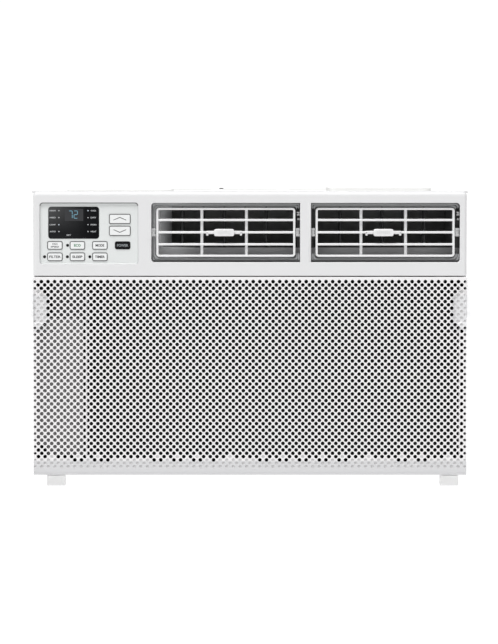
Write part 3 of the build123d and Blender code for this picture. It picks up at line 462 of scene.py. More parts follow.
def frame_ring(outer, inner, y0, y1, bevel=0.0, keep=None):
    """Ring between two outlines of as many points, or the stretches of it where keep is true."""
    bm = bmesh.new()
    loops = [[bm.verts.new((x, y, z)) for x, z in outline] for outline in (outer, inner) for y in (y0, y1)]
    outer_front, outer_back, inner_front, inner_back = loops
    count = len(outer)
    kept = [keep is None or keep(*outer[i]) and keep(*outer[(i + 1) % count]) for i in range(count)]
    for i in range(count):
        j = (i + 1) % count
        if kept[i] != kept[i - 1]:
            bm.faces.new((outer_front[i], inner_front[i], inner_back[i], outer_back[i]))
        if not kept[i]:
            continue
        bm.faces.new((outer_front[i], outer_front[j], inner_front[j], inner_front[i]))
        bm.faces.new((outer_back[j], outer_back[i], inner_back[i], inner_back[j]))
        bm.faces.new((outer_front[j], outer_front[i], outer_back[i], outer_back[j]))
        bm.faces.new((inner_front[i], inner_front[j], inner_back[j], inner_back[i]))
    bmesh.ops.delete(bm, geom=[v for v in bm.verts if not v.link_faces], context="VERTS")
    if bevel:
        rims = [e for e in bm.edges if len(e.link_faces) == 2 and e.calc_face_angle(0) > 1.2]
        soften(bm, rims, bevel, 2)
    bmesh.ops.recalc_face_normals(bm, faces=bm.faces[:])
    return taken(bm)


def stepped(outer, inner, step=5):
    """Both outlines with points added along their straight runs, the same number in each."""
    long_outer, long_inner = [], []
    for i, here in enumerate(outer):
        j = (i + 1) % len(outer)
        count = max(1, int(math.dist(here, outer[j]) / step))
        for k in range(count):
            for line, made in ((outer, long_outer), (inner, long_inner)):
                (ax, az), (bx, bz) = line[i], line[j]
                made.append((ax + (bx - ax) * k / count, az + (bz - az) * k / count))
    return long_outer, long_inner


def inset_outline(edges, inset, radii):
    """Rounded outline that lies inside the given x0, x1, z0 and z1."""
    x0, x1, z0, z1 = edges
    return rounded_outline(x0 + inset, x1 - inset, z0 + inset, z1 - inset, radii)


def moulding(edges, radii, section):
    """Closed moulding round a rounded rectangle; section holds (inset, y) pairs."""
    verts, faces = [], []
    for inset, y in section:
        turn = tuple(max(r - inset, 0.1) for r in radii)
        verts += [(x, y, z) for x, z in inset_outline(edges, inset, turn)]
    count = len(verts) // len(section)
    for k in range(len(section)):
        a, b = k * count, (k + 1) % len(section) * count
        for i in range(count):
            j = (i + 1) % count
            faces.append((a + i, a + j, b + j, b + i))
    return verts, faces


def ring_faces(rings, sides):
    """Faces between rings of the same number of points, with a cap on the first and the last."""
    faces = []
    for a in range(0, (rings - 1) * sides, sides):
        for k in range(sides):
            n = (k + 1) % sides
            faces.append((a + k, a + n, a + sides + n, a + sides + k))
    last = (rings - 1) * sides
    return faces + [tuple(range(sides - 1, -1, -1)), tuple(range(last, last + sides))]


def lathe(profile, centre, axis, segments=32):
    """Solid of revolution: profile holds (radius, distance along the axis), open ends on the axis."""
    turn = Vector((0, 0, 1)).rotation_difference(Vector(axis)).to_matrix()
    verts = []
    for radius, along in profile:
        for k in range(segments):
            a = 2 * math.pi * k / segments
            point = turn @ Vector((radius * math.cos(a), radius * math.sin(a), along))
            verts.append(tuple(point + Vector(centre)))
    return verts, ring_faces(len(profile), segments)


def tube(points, radius, sides=12):
    """Round tube along a list of points."""
    points = [Vector(p) for p in points]
    verts = []
    for i, point in enumerate(points):
        ahead = points[min(i + 1, len(points) - 1)] - points[max(i - 1, 0)]
        turn = Vector((0, 0, 1)).rotation_difference(ahead.normalized()).to_matrix()
        for k in range(sides):
            a = 2 * math.pi * k / sides
            verts.append(tuple(point + turn @ Vector((radius * math.cos(a), radius * math.sin(a), 0))))
    return verts, ring_faces(len(points), sides)


def joined(parts):
    """One list of vertices and faces from several."""
    verts, faces = [], []
    for part_verts, part_faces in parts:
        offset = len(verts)
        verts.extend(part_verts)
        faces.extend(tuple(i + offset for i in face) for face in part_faces)
    return verts, faces


def piece(name, parts, material, body, stands_for=(), smooth=True):
    """A finished piece, scaled to metres, that rides on a CAD body."""
    verts, faces = joined(parts)
    mesh = bpy.data.meshes.new(name)
    mesh.from_pydata([tuple(c * MM for c in vert) for vert in verts], [], faces)
    mesh.validate()
    mesh.materials.append(material)
    if smooth:
        mesh.polygons.foreach_set("use_smooth", [True] * len(mesh.polygons))
        mesh.set_sharp_from_angle(angle=math.radians(32))
    mesh.update()
    made = bpy.data.objects.new(name, mesh)
    bpy.context.collection.objects.link(made)
    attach(made, body)
    if stands_for:
        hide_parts(*stands_for)
    return made


def dress(node, material, bevel=0.0):
    """Give a CAD node its material, and soften its sharp edges by a bevel in millimetres."""
    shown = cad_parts[node]
    if not shown.material_slots:
        shown.data.materials.append(material)
    for entry in shown.material_slots:
        entry.material = material
    if bevel:
        softened = shown.modifiers.new("softened", "BEVEL")
        softened.width = bevel * MM
        softened.segments = 2
        softened.limit_method = "ANGLE"
        softened.angle_limit = math.radians(50)
        softened.use_clamp_overlap = True


# ================================================================ front grille

def grip_inside(x, z):
    """Distance inside the grip pocket's outline, negative outside it."""
    x = abs(x)
    slants = (x - z - 19.0) / math.sqrt(2), (x + z - 558.5) / math.sqrt(2)
    return min(x - 308.3, 299.2 - z, z - 244.5, *slants)


def grip_depth(x, z):
    """How far the surface is dished at a point of the grille."""
    inside = grip_inside(x, z)
    edge = (FLAT_X - abs(x)) / 2
    share = min(max(inside / 3.0, 0.0), 1.0) * min(max(edge, 0.0), 1.0)
    return GRIP_DEPTH * share * share * (3 - 2 * share)


def is_blind(row, column, x, z):
    """Dimples instead of holes: in the grip pockets and along the lower edge."""
    if grip_inside(x, z) > 0 or row >= HOLE_ROWS - 2:
        return True
    if row == HOLE_ROWS - 3:
        return column not in LOWEST_HOLES
    return row == HOLE_ROWS - 4 and column in LOWEST_DIMPLES


class Plate:
    """The perforated skin, built cell by cell on shared corners."""

    def __init__(self, front_y, back_y):
        self.front_y, self.back_y = front_y, back_y
        self.verts, self.faces, self.corners = [], [], {}
        self.cup_verts, self.cup_faces = [], []

    def vert(self, x, y, z):
        self.verts.append((x, y, z))
        return len(self.verts) - 1

    def corner(self, x, z, back):
        """Shared corner of neighbouring cells, on the front or the back."""
        key = (round(x * 1e3), round(z * 1e3), back)
        if key not in self.corners:
            depth = grip_depth(x, z)
            self.corners[key] = self.vert(x, (self.back_y if back else self.front_y) + depth, z)
        return self.corners[key]

    def ring(self, x, y, z, radius, count):
        turns = [2 * math.pi * k / count for k in range(count)]
        return [self.vert(x + radius * math.cos(turn), y, z + radius * math.sin(turn)) for turn in turns]

    def cell_corners(self, x, z, back):
        """East, north, west and south corners; an outer corner is cut off at the flat's edge."""
        half = HALF_PITCH
        around = [[(x + half, z)], [(x, z + half)], [(x - half, z)], [(x, z - half)]]
        reach = FLAT_X - abs(x)
        if reach < half * 0.99:
            up, down = (x / abs(x) * FLAT_X, z + half - reach), (x / abs(x) * FLAT_X, z - half + reach)
            if x > 0:
                around[0] = [down, up]
            else:
                around[2] = [up, down]
        return [[self.corner(*point, back) for point in group] for group in around]

    def cell(self, x, z, blind):
        depth = grip_depth(x, z)
        radius = min(HOLE_R, FLAT_X - abs(x) - 0.1) * (BLIND_SHARE if blind else 1.0)
        count = RIM_POINTS
        front = self.ring(x, self.front_y + depth, z, radius, count)
        groups = self.cell_corners(x, z, False)
        for q in range(4):
            a, b = groups[q][-1], groups[(q + 1) % 4][0]
            r = [front[(3 * q + k) % count] for k in range(4)]
            self.faces += [(a, r[1], r[0]), (a, b, r[2], r[1]), (b, r[3], r[2])]
            if len(groups[q]) == 2:
                self.faces.append((groups[q][0], groups[q][1], front[3 * q]))
        back_groups = self.cell_corners(x, z, True)
        if blind:
            start = len(self.cup_verts)
            self.cup_verts += [self.verts[i] for i in front]
            for share, sink in ((0.8, 0.7), (0.35, 1.0)):
                for i in front:
                    vx, vy, vz = self.verts[i]
                    self.cup_verts.append((x + (vx - x) * share, vy + DIMPLE * sink, z + (vz - z) * share))
            for k in range(count):
                n = (k + 1) % count
                for level in (start, start + count):
                    self.cup_faces.append((level + k, level + n, level + count + n, level + count + k))
            self.cup_faces.append(tuple(range(start + 2 * count, start + 3 * count)))
            self.faces.append(tuple(i for group in back_groups[::-1] for i in group[::-1]))
            return
        back = self.ring(x, self.back_y + depth, z, min(HOLE_BACK_R, FLAT_X - abs(x) - 0.05), count // 2)
        for k in range(count // 2):
            f0, f1, f2 = front[2 * k], front[2 * k + 1], front[(2 * k + 2) % count]
            b0, b1 = back[k], back[(k + 1) % (count // 2)]
            self.faces += [(f0, f1, b0), (f1, b1, b0), (f1, f2, b1)]
        e, n, w, s = (group[-1] for group in back_groups)
        e0, w0 = back_groups[0][0], back_groups[2][0]
        self.faces += [
            (e, back[0], back[1]), (e, back[1], n), (n, back[1], back[2]), (n, back[2], w0),
            (w0, back[2], back[3]), (w, back[3], back[4]), (w, back[4], s), (s, back[4], back[5]),
            (s, back[5], e0), (e0, back[5], back[0]),
        ]
        if e != e0:
            self.faces.append((e0, back[0], e))
        if w != w0:
            self.faces.append((w0, back[3], w))


def hole_row(row):
    """Centres of one row of holes; every other row is shifted by half a pitch."""
    count = HOLE_COLUMNS - row % 2
    first = -(count - 1) / 2 * HOLE_PITCH
    z = HOLE_TOP_Z - row * HALF_PITCH
    return [(first + column * HOLE_PITCH, z) for column in range(count)]


def border_faces(plate, back):
    """Faces between the outer cells and the straight edge of the flat, on one side of the skin."""
    half = HALF_PITCH
    faces = []
    z_top = HOLE_TOP_Z
    z_low = HOLE_TOP_Z - (HOLE_ROWS - 1) * half
    cut = half - (FLAT_X - abs(hole_row(0)[0][0]))
    for z, sign, edge in ((z_top, 1, FLAT_Z1), (z_low, -1, FLAT_Z0)):
        zigzag = [(-FLAT_X, z + sign * cut)]
        for x, _ in hole_row(0):
            zigzag += [(x, z + sign * half), (x + half, z)]
        zigzag[-1] = (FLAT_X, z + sign * cut)
        outline = [(-FLAT_X, edge)] + zigzag + [(FLAT_X, edge)]
        loop = [plate.corner(x, zz, back) for x, zz in outline]
        faces.append(tuple(loop if (sign > 0) != back else loop[::-1]))
    for side in (-1, 1):
        for row in range(0, HOLE_ROWS - 2, 2):
            z = HOLE_TOP_Z - row * half
            outer = hole_row(0)[-1][0] * side
            triangle = [(outer, z - half), (side * FLAT_X, z - cut), (side * FLAT_X, z - 2 * half + cut)]
            loop = [plate.corner(x, zz, back) for x, zz in triangle]
            faces.append(tuple(loop if (side < 0) != back else loop[::-1]))
    return faces


def flat_edge(plate, back):
    """The flat's rim as a closed loop of shared corners, clockwise from the upper left."""
    half = HALF_PITCH
    cut = half - (FLAT_X - abs(hole_row(0)[0][0]))
    heights = []
    for row in range(0, HOLE_ROWS, 2):
        z = HOLE_TOP_Z - row * half
        heights += [z + cut, z - cut]
    right = [(FLAT_X, FLAT_Z1)] + [(FLAT_X, z) for z in heights] + [(FLAT_X, FLAT_Z0)]
    left = [(-x, z) for x, z in right[::-1]]
    return [plate.corner(x, z, back) for x, z in right], [plate.corner(x, z, back) for x, z in left]


def tray_levels(front_y, top_z, low_z, back_y):
    """Half width, lower edge, upper edge and depth of the tray's outside, from the flat backwards."""
    half_w = HALF_WIDTH
    return [
        (half_w - 0.1, FLAT_Z0 - 2.8, top_z - 0.25, front_y + 0.2),
        (half_w, FLAT_Z0 - 5.6, top_z, front_y + 0.8),
        (half_w, low_z + 2.2, top_z, front_y + 2.4),
        (half_w, low_z + 0.7, top_z, front_y + 4.8),
        (half_w, low_z, top_z, front_y + 8.0),
        (half_w, low_z, top_z, back_y),
        (half_w - 0.9, low_z + 1.4, top_z - 0.9, back_y),
        (half_w - 0.9, low_z + 1.8, top_z - 0.9, front_y + 8.4),
    ]


def perforated_skin():
    """The grille's perforated tray and, apart from it, the cups of its dimples."""
    lo, hi = box("front_grille")
    top_z = hi.z + 0.25
    front_y = lo.y
    plate = Plate(front_y, front_y + SKIN)
    for row in range(HOLE_ROWS):
        for column, (x, z) in enumerate(hole_row(row)):
            plate.cell(x, z, is_blind(row, column, x, z))
    plate.faces += border_faces(plate, False) + border_faces(plate, True)
    right, left = flat_edge(plate, False)
    loops, floors = [], []
    for i, (half, low, top, y) in enumerate(tray_levels(front_y, top_z, lo.z, hi.y)):
        corners = ((half, top), (half, low), (-half, low), (-half, top))
        loops.append([plate.vert(x, y, z) for x, z in corners])
        floors.append([plate.vert(x, y, low) for x in NOTCH_EDGES] if i >= NOTCH_LEVEL else [])
    first = loops[0]
    plate.faces.append(tuple(right + [first[1], first[0]]))
    plate.faces.append((right[-1], left[0], first[2], first[1]))
    plate.faces.append(tuple(left + [first[3], first[2]]))
    plate.faces.append((left[-1], right[0], first[0], first[3]))
    for i, (near, far) in enumerate(zip(loops, loops[1:])):
        for k in (0, 2, 3):
            n = (k + 1) % 4
            plate.faces.append((near[k], near[n], far[n], far[k]))
        a, b = floors[i], floors[i + 1]
        if a:
            plate.faces += [(near[1], a[0], b[0], far[1]), (a[1], a[2], b[2], b[1]),
                            (a[3], near[2], far[2], b[3])]
        else:
            plate.faces.append((near[1], near[2], far[2], *b[::-1], far[1]))
    start, stop = floors[NOTCH_LEVEL], floors[-1]
    for k in range(4):
        plate.faces.append(tuple(level[k] for level in floors[NOTCH_LEVEL:]))
    for k in (0, 2):
        plate.faces.append((start[k], start[k + 1], stop[k + 1], stop[k]))
    back_right, back_left = flat_edge(plate, True)
    last = loops[-1]
    plate.faces.append(tuple([last[0], last[1]] + back_right[::-1]))
    plate.faces.append((back_right[-1], last[1], *stop, last[2], back_left[0]))
    plate.faces.append(tuple([last[2], last[3]] + back_left[::-1]))
    plate.faces.append((back_left[-1], last[3], last[0], back_right[0]))
    return (plate.verts, plate.faces), (plate.cup_verts, plate.cup_faces)


def grille_fittings():
    """Finger tabs, hinge ribs and pins, and the two filter rails on the back."""
    lo, hi = box("front_grille")
    parts, tabs = [], []
    for side in (-1, 1):
        xs = sorted((side * 327.2, side * hi.x))
        left, right = (3, 0) if side < 0 else (0, 3)
        outline = rounded_outline(*xs, TAB_LOW_Z, hi.z, (left, right, right, left))
        tabs.append(prism(outline, lo.y + 1.2, -322, 0.9, 3))
        xs = sorted((side * 300, side * 303))
        parts.append(rounded_box((xs[0], -333, 18), (xs[1], -320, 38), 0.4))
        parts.append(tube([(side * 290, HINGE_Y, HINGE_Z), (side * 300.5, HINGE_Y, HINGE_Z)], 2, 16))
    for x in (-248.5, 316.5):
        for y, z0, z1 in ((-333, 44, 240), (-329.8, 240, 304)):
            parts.append(rounded_box((x, y, z0), (x + 2, -319, z1), 0.3))
    return parts, tabs


def build_grille():
    """The intake grille with its finger tabs and its dimples."""
    skin, dimples = perforated_skin()
    fittings, tabs = grille_fittings()
    piece("finger_tabs", tabs, BRIGHT, "grille")
    piece("intake_grille", [skin] + fittings, GRILLE, "grille", ("front_grille",),
          smooth=False)
    # The cups of the dimples carry painted shade.
    piece("grille_dimples", [dimples], DIMPLE_SHADE, "grille")


def build_filter():
    """Washable filter: framed cells over a fine woven screen with a thin black backing."""
    lo, hi = box("air_filter")
    bar = 8
    columns, rows = 4, 2
    cell_w = (hi.x - lo.x - (columns + 1) * bar) / columns
    cell_h = (hi.z - lo.z - (rows + 1) * bar) / rows
    parts = []
    for i in range(columns + 1):
        x = lo.x + i * (cell_w + bar)
        parts.append(rounded_box((x, lo.y, lo.z), (x + bar, hi.y, hi.z), 1.2))
    for i in range(rows + 1):
        z = lo.z + i * (cell_h + bar)
        parts.append(rounded_box((lo.x, lo.y, z), (hi.x, hi.y, z + bar), 1.2))
    piece("filter_frame", parts, SCREEN, "grille", ("air_filter",))
    thread, pitch = 0.3, 1.3
    y = (lo.y + hi.y) / 2
    threads = []
    x0, x1, z0, z1 = lo.x + bar / 2, hi.x - bar / 2, lo.z + bar / 2, hi.z - bar / 2
    for i in range(1, int((hi.x - lo.x) / pitch)):
        x = lo.x + i * pitch
        threads.append(rounded_box((x - thread, y - thread, z0), (x + thread, y + thread, z1), 0))
    near = y + thread * 0.8
    for i in range(1, int((hi.z - lo.z) / pitch)):
        z = lo.z + i * pitch
        threads.append(rounded_box((x0, near - thread, z - thread), (x1, near + thread, z + thread), 0))
    back = y + 3 * thread
    threads.append(rounded_box((x0, back, z0), (x1, back + thread, z1), 0))
    piece("filter_screen", threads, SCREEN, "grille", smooth=False)


# ================================================================ louvers

def build_louver(side):
    """Cassette: rounded frame, three bars, two set-back ribs, two pins, and the tab's rail with its stops."""
    lo, hi = box(f"louver_{side}")
    x0, x1 = lo.x + PIN_LENGTH, hi.x - PIN_LENGTH
    middle = (x0 + x1) / 2
    centre = middle + TAB_X
    edges = x0, x1, lo.z, hi.z
    outer, inner = rounded_outline(*edges, (5,) * 4), inset_outline(edges, BAR, (1.4,) * 4)
    parts = [frame_ring(outer, inner, lo.y, hi.y, 0.9)]
    half = BAR / 2
    for offset in BAR_Z:
        z = PIVOT.z + offset
        parts.append(rounded_box((x0 + half, lo.y + 0.1, z - half), (x1 - half, hi.y, z + half), 1.0, 3))
    ribs = []
    for sign in (-1, 1):
        left, right = centre + sign * RIB_X - RIB_W / 2, centre + sign * RIB_X + RIB_W / 2
        ribs.append(rounded_box((left, lo.y + 4.2, lo.z + half), (right, hi.y, hi.z - half), 1.4, 3))
        ears = sorted((centre + sign * EAR_X0, centre + sign * EAR_X1))
        parts.append(rounded_box((ears[0], lo.y, PIVOT.z - 5), (ears[1], hi.y, PIVOT.z + 1.2), 1.1, 3))
        edge = middle + sign * (x1 - x0) / 2
        tip = edge + sign * PIN_LENGTH
        parts.append(tube([(edge - sign, PIVOT.y, PIVOT.z), (tip, PIVOT.y, PIVOT.z)], PIN_R, 18))
    rail = (centre - EAR_X1, lo.y, PIVOT.z - 2.6), (centre + EAR_X1, hi.y, PIVOT.z + 2.2)
    parts.append(rounded_box(*rail, 1.1, 3))
    piece(f"louver_ribs_{side}", ribs, RIB_SHADE, f"louver_{side}")
    piece(f"louver_cassette_{side}", parts, LOUVER_HIGHLIGHT, f"louver_{side}", (f"louver_{side}",))


def build_tab(side):
    """Thumb tab: a barrel-shaped pad around the rail, with two prongs to the vane behind."""
    lo, hi = box(f"thumb_tab_{side}")
    x = (lo.x + hi.x) / 2
    half_w, half_h = (hi.x - lo.x) / 2, (hi.z - lo.z) / 2
    low, high = PIVOT.z - half_h, PIVOT.z + half_h
    outline = []
    for px, pz in rounded_outline(x - half_w, x + half_w, low, high - TAB_CROWN, (2.0,) * 4):
        rise = TAB_CROWN * (1 - ((px - x) / half_w) ** 2) if pz > PIVOT.z else 0.0
        outline.append((px, pz + rise))
    parts = [prism(outline, lo.y, -330.4, 1.3, 3)]
    x0, x1 = x - half_w * 0.8, x + half_w * 0.8
    low, high = PIVOT.z - half_h * 0.9, PIVOT.z + half_h * 0.9
    for z0, z1 in ((low, PIVOT.z - 3.6), (PIVOT.z + 3.6, high)):
        parts.append(rounded_box((x0, -331, z0), (x1, -316, z1), 0.4))
    parts.append(rounded_box((x0, -317.6, low), (x1, -315.6, high), 0.4))
    for i in range(-3, 4):
        ridge = x + i * 3.0
        parts.append(rounded_box((ridge - 0.35, lo.y, PIVOT.z - half_h * 0.5),
                                 (ridge + 0.35, lo.y + 0.8, PIVOT.z + half_h * 0.5), 0.15))
    for sign in (-1, 1):
        xs = sorted((x + sign * 2.2, x + sign * 4.2))
        parts.append(rounded_box((xs[0], -316.5, low), (xs[1], hi.y, high), 0.4))
    piece(f"thumb_pad_{side}", parts, LOUVER_HIGHLIGHT, f"thumb_tab_{side}", (f"thumb_tab_{side}",))


# Width, front, back, lower and upper edge of each part of the clip at a vent's right end.
CLIP_PARTS = (
    (4.6, -329, -320, 410.6, 412.3), (4.6, -329, -320, 414.4, 416.1), (3.2, -328, -322, 411, 415.6),
    (3.6, -326, -320, 403.4, 406.6),
)


def build_vent_trim(side, x0, x1):
    """Stepped lip inside the opening, grey as painted shade, the bosses that carry the cassette's pins, and a
    clip.
    """
    z0, z1 = VENT_Z0, VENT_Z1
    edges = x0, x1, z0, z1
    outer_r, square = 5.0, 0.8
    left = outer_r if side == "left" else square
    right = outer_r if side == "right" else square
    radii = (left, right, right, left)
    middle = (x0 + x1) / 2

    def lip(x, z):
        """The lip runs along the top and the bottom, and down the outer side of the left vent."""
        return z > z1 - 8 or z < z0 + 14 or (side == "left" and x < middle)

    parts = []
    for inset, width, front in ((0.7, 2.1, -328), (3.15, 2.45, -326)):
        turn = tuple(r + inset - 0.7 for r in radii)
        outer = inset_outline(edges, inset, turn)
        inner = inset_outline(edges, inset + width, tuple(r + 1.0 for r in turn))
        parts.append(frame_ring(*stepped(outer, inner), front, -320, 0.5, lip))
    piece(f"vent_lip_{side}", parts, VENT_LIP_SHADE, "root")
    bosses = []
    lo, hi = box(f"louver_{side}")
    shoulder = PIN_LENGTH - 0.9
    for near, far in ((x0 + 0.2, lo.x + shoulder), (hi.x - shoulder, x1 - 0.2)):
        for z_lo, z_hi in ((PIVOT.z - 6.2, PIVOT.z - 2.6), (PIVOT.z + 2.6, PIVOT.z + 6.2)):
            bosses.append(rounded_box((near, -330, z_lo), (far, -318, z_hi), 0.5))
        bosses.append(rounded_box((near, -329.4, PIVOT.z - 4), (far - 0.8, -325, PIVOT.z + 4), 0.5))
    clip = x1 - 0.2
    for width, y0, y1, z_lo, z_hi in CLIP_PARTS:
        bosses.append(rounded_box((clip - width, y0, z_lo), (clip, y1, z_hi), 0.5))
    piece(f"pivot_bosses_{side}", bosses, TRIM, "root")


# ================================================================ control panel

PANEL_FACE_Y = -332.0
PRINT = 0.04


def lettering(text, x, z, width, height, y, weight=0.034):
    """Generic lettering as thin raised print, centred on a point and fitted to a size."""
    curve = bpy.data.curves.new("print", "FONT")
    curve.body = text
    curve.size = 1.0
    curve.resolution_u = 3
    curve.extrude = 0.02
    curve.offset = weight
    holder = bpy.data.objects.new("print", curve)
    bpy.context.collection.objects.link(holder)
    bpy.context.view_layer.update()
    mesh = bpy.data.meshes.new_from_object(holder.evaluated_get(bpy.context.evaluated_depsgraph_get()))
    bpy.data.objects.remove(holder)
    points = [v.co.copy() for v in mesh.vertices]
    faces = [tuple(p.vertices) for p in mesh.polygons]
    x_lo, x_hi = min(p.x for p in points), max(p.x for p in points)
    z_lo, z_hi = min(p.y for p in points), max(p.y for p in points)
    verts = []
    for p in points:
        across = (p.x - (x_lo + x_hi) / 2) / (x_hi - x_lo) * width
        up = (p.y - (z_lo + z_hi) / 2) / (z_hi - z_lo) * height
        verts.append((x + across, y - PRINT / 2 - (PRINT / 2 if p.z > 0 else 0), z + up))
    bpy.data.meshes.remove(mesh)
    return verts, faces


def outline_ring(edges, radius, width, y):
    """Printed outline of a key."""
    outer = rounded_outline(*edges, (radius,) * 4)
    inner = inset_outline(edges, width, (max(radius - width, 0.2),) * 4)
    return frame_ring(outer, inner, y - PRINT, y + PRINT)


def chevron(x, z, width, height, stroke, y, up):
    """Arrow sign of two strokes."""
    sign = 1 if up else -1
    half = width / 2
    tip, foot = z + sign * height / 2, z - sign * height / 2
    rise = sign * stroke
    outline = [(x - half, foot), (x, tip - rise * 0.55), (x + half, foot), (x + half, foot + rise * 0.9),
               (x, tip + rise * 0.55), (x - half, foot + rise * 0.9)]
    if not up:
        outline.reverse()
    strokes = ((0, 1, 4, 5), (1, 2, 3, 4)) if up else ((5, 4, 1, 0), (4, 3, 2, 1))
    return [prism([outline[i] for i in stroke], y - PRINT, y + PRINT) for stroke in strokes]


# Word, width, height and offset from the key's middle.
KEY_WORDS = {
    "fan_speed": (("FAN", 7.5, 2.5, 2.1), ("SPEED", 12.5, 2.5, -2.1)),
    "eco": (("ECO", 10.0, 4.0, 0.0),),
    "mode": (("MODE", 13.0, 4.0, 0.0),),
    "filter": (("FILTER", 17.5, 3.8, 0.0),),
    "sleep": (("SLEEP", 15.5, 3.8, 0.0),),
    "timer": (("TIMER", 15.0, 3.8, 0.0),),
    "power": (("POWER", 17.0, 4.0, 0.0),),
}


def build_panel_trim():
    """Moulding round the recessed panel, a painted shadow line along its top, and a step on the mullion
    between the vents.
    """
    lo, hi = box("control_overlay")
    lip, start, radius = 2.4, 0.25, 2.4
    edges = lo.x + lip, hi.x - lip, lo.z + lip, hi.z - lip
    y = PANEL_FACE_Y - 0.02
    section = [(start, y)]
    for k in range(7):
        turn = math.radians(90 * k / 6)
        section.append((start + radius - radius * math.cos(turn), y - radius + radius * math.sin(turn)))
    section[-1] = (section[-1][0], y - 0.01)
    cove = moulding(edges, (4.5,) * 4, section[:1] + section[:0:-1])
    piece("panel_cove", [cove], PANEL, "root")
    front = box("fascia")[0].y
    outer, inner = inset_outline(edges, -0.15, (4.5,) * 4), inset_outline(edges, 1.1, (3.7,) * 4)
    # Painted shadow line, kept only along the top and the upper corners of the recess.
    shadow_strip = frame_ring(*stepped(outer, inner), front + 0.5, front + 0.8, 0, lambda x, z: z > edges[3] - 9)
    piece("panel_painted_shadow", [shadow_strip], SHADOW_LINE, "root")
    strip = rounded_box((88.0, front - 0.3, 341.2), (91.6, front + 0.5, 428.4), 0.25)
    piece("mullion_step", [strip], WHITE, "root")


def build_intake_seal():
    """Black foam seal round the intake opening, with foam pads on the blank wall left of the coil; their
    grey, darker on the upper pad, is painted shade.
    """
    x0, x1, z0, z1 = -250.5, 318.0, 44.0, 304.0
    y0, y1 = -317.4, -314.1
    edge_x, edge_z0, edge_z1 = 326.8, 28.5, 316.4
    strips = [
        rounded_box((-edge_x, y0, edge_z0), (edge_x, y1, z0), 0.6),
        rounded_box((-edge_x, y0, z1), (edge_x, y1, edge_z1), 0.6),
        rounded_box((-edge_x, y0, z0), (x0, y1, z1), 0.6),
        rounded_box((x1, y0, z0), (edge_x, y1, z1), 0.6),
    ]
    piece("intake_seal", strips, SEAL, "root")
    pad = rounded_outline(-309, -252.5, 46.5, 255, (3,) * 4)
    side_pad = rounded_outline(-326.6, -309.5, 62, 246, (2,) * 4)
    upper_pad = rounded_outline(-300, -252.5, 256, 309, (3,) * 4)
    pads = [prism(outline, y0 - 2.4, y0 + 0.4, 0.6) for outline in (pad, side_pad, upper_pad)]
    piece("intake_pad", pads[:2], PAD_SHADE, "root")
    piece("intake_pad_upper", pads[2:], UPPER_PAD_SHADE, "root")


KEY_INKS = {"eco": GREEN_INK, "power": PALE_INK, "filter": GREY_INK, "fan_speed": GREY_INK}


def build_keys():
    """Each key's material, printed outline and sign or word."""
    for name in ("up", "down", "power", *list(KEY_WORDS)[:-1]):
        node = f"button_{name}"
        dress(node, BLACK_KEY if name == "power" else KEY)
        lo, hi = box(node)
        lip = 1.0
        x0, x1, z0, z1 = lo.x + lip, hi.x - lip, lo.z + lip, hi.z - lip
        x, z, y = (x0 + x1) / 2, (z0 + z1) / 2, lo.y
        if name != "power":
            ring = outline_ring((x0, x1, z0, z1), 2.6, 1.15, y)
            piece(f"{node}_outline", [ring], GREY_INK, node)
        if name in ("up", "down"):
            sign = chevron(x, z, 19, 4.6, 1.25, y, name == "up")
            piece(f"{node}_sign", sign, GREY_INK, node)
            continue
        words = [
            lettering(word, x, z + shift, width, height, y)
            for word, width, height, shift in KEY_WORDS[name]
        ]
        piece(f"{node}_word", words, KEY_INKS.get(name, DARK_INK), node, smooth=False)


SEGMENTS = {"7": "abc", "2": "abged"}


def digit(symbol, x0, x1, z0, z1, y):
    """Seven-segment digit."""
    stroke = 0.85
    gap = 0.18
    z_mid = (z0 + z1) / 2
    spans = {
        "a": (x0, x1, z1, "flat"), "g": (x0, x1, z_mid, "flat"), "d": (x0, x1, z0, "flat"),
        "b": (z_mid, z1, x1, "tall"), "c": (z0, z_mid, x1, "tall"), "e": (z0, z_mid, x0, "tall"),
    }
    parts = []
    for letter in SEGMENTS[symbol]:
        start, stop, at, way = spans[letter]
        start, stop, half = start + gap, stop - gap, stroke / 2
        bar = [(start, at), (start + half, at - half), (stop - half, at - half), (stop, at),
               (stop - half, at + half), (start + half, at + half)]
        if way == "tall":
            bar = [(b, a) for a, b in bar][::-1]
        parts.append(prism(bar, y - PRINT, y + PRINT))
    return parts


def build_display():
    """The lens with its lit digits, function words and lamps, and the light pipes beside the keys."""
    y = box("display_window")[0].y
    dress("display_window", LENS, 0.3)
    dress("indicator_lights", PIPE, 0.2)
    screen = rounded_outline(-280, -252, 402.5, 420.5, (0.8,) * 4)
    screen = prism(screen, y - PRINT * 0.5, y + PRINT)
    piece("display_screen", [screen], DISPLAY_GREY, "root")
    digits = digit("7", -273.4, -268.6, 406.5, 417.6, y - PRINT)
    digits += digit("2", -265.9, -260.7, 406.5, 417.6, y - PRINT)
    piece("display_digits", digits, DIGIT, "root")
    rows = (418.0, 407.5, 396.8, 386.4)
    words, lamps, bright = [], [], []
    left_words = ("HIGH", "MED", "LOW", "AUTO")
    right_words = ("COOL", "DRY", "FAN", "HEAT")
    for row, z in enumerate(rows):
        words.append(lettering(left_words[row], -298.2, z, 9.0, 2.2, y))
        words.append(lettering(right_words[row], -236.5, z, 8.5, 2.2, y))
        for x, lit in ((-288.8, row == 2), (-244.8, row == 0)):
            dot = rounded_outline(x - 0.9, x + 0.9, z - 0.9, z + 0.9, (0.9,) * 4, 4)
            (bright if lit else lamps).append(prism(dot, y - PRINT, y + PRINT))
    words.append(lettering("SET", -274.0, 380.9, 7.0, 2.0, y))
    piece("display_words", words, DIM_INK, "root", smooth=False)
    piece("display_marks", lamps, DIM_INK, "root")
    piece("display_lamps", bright, LAMP, "root")


# ================================================================ coils, fans and fasteners

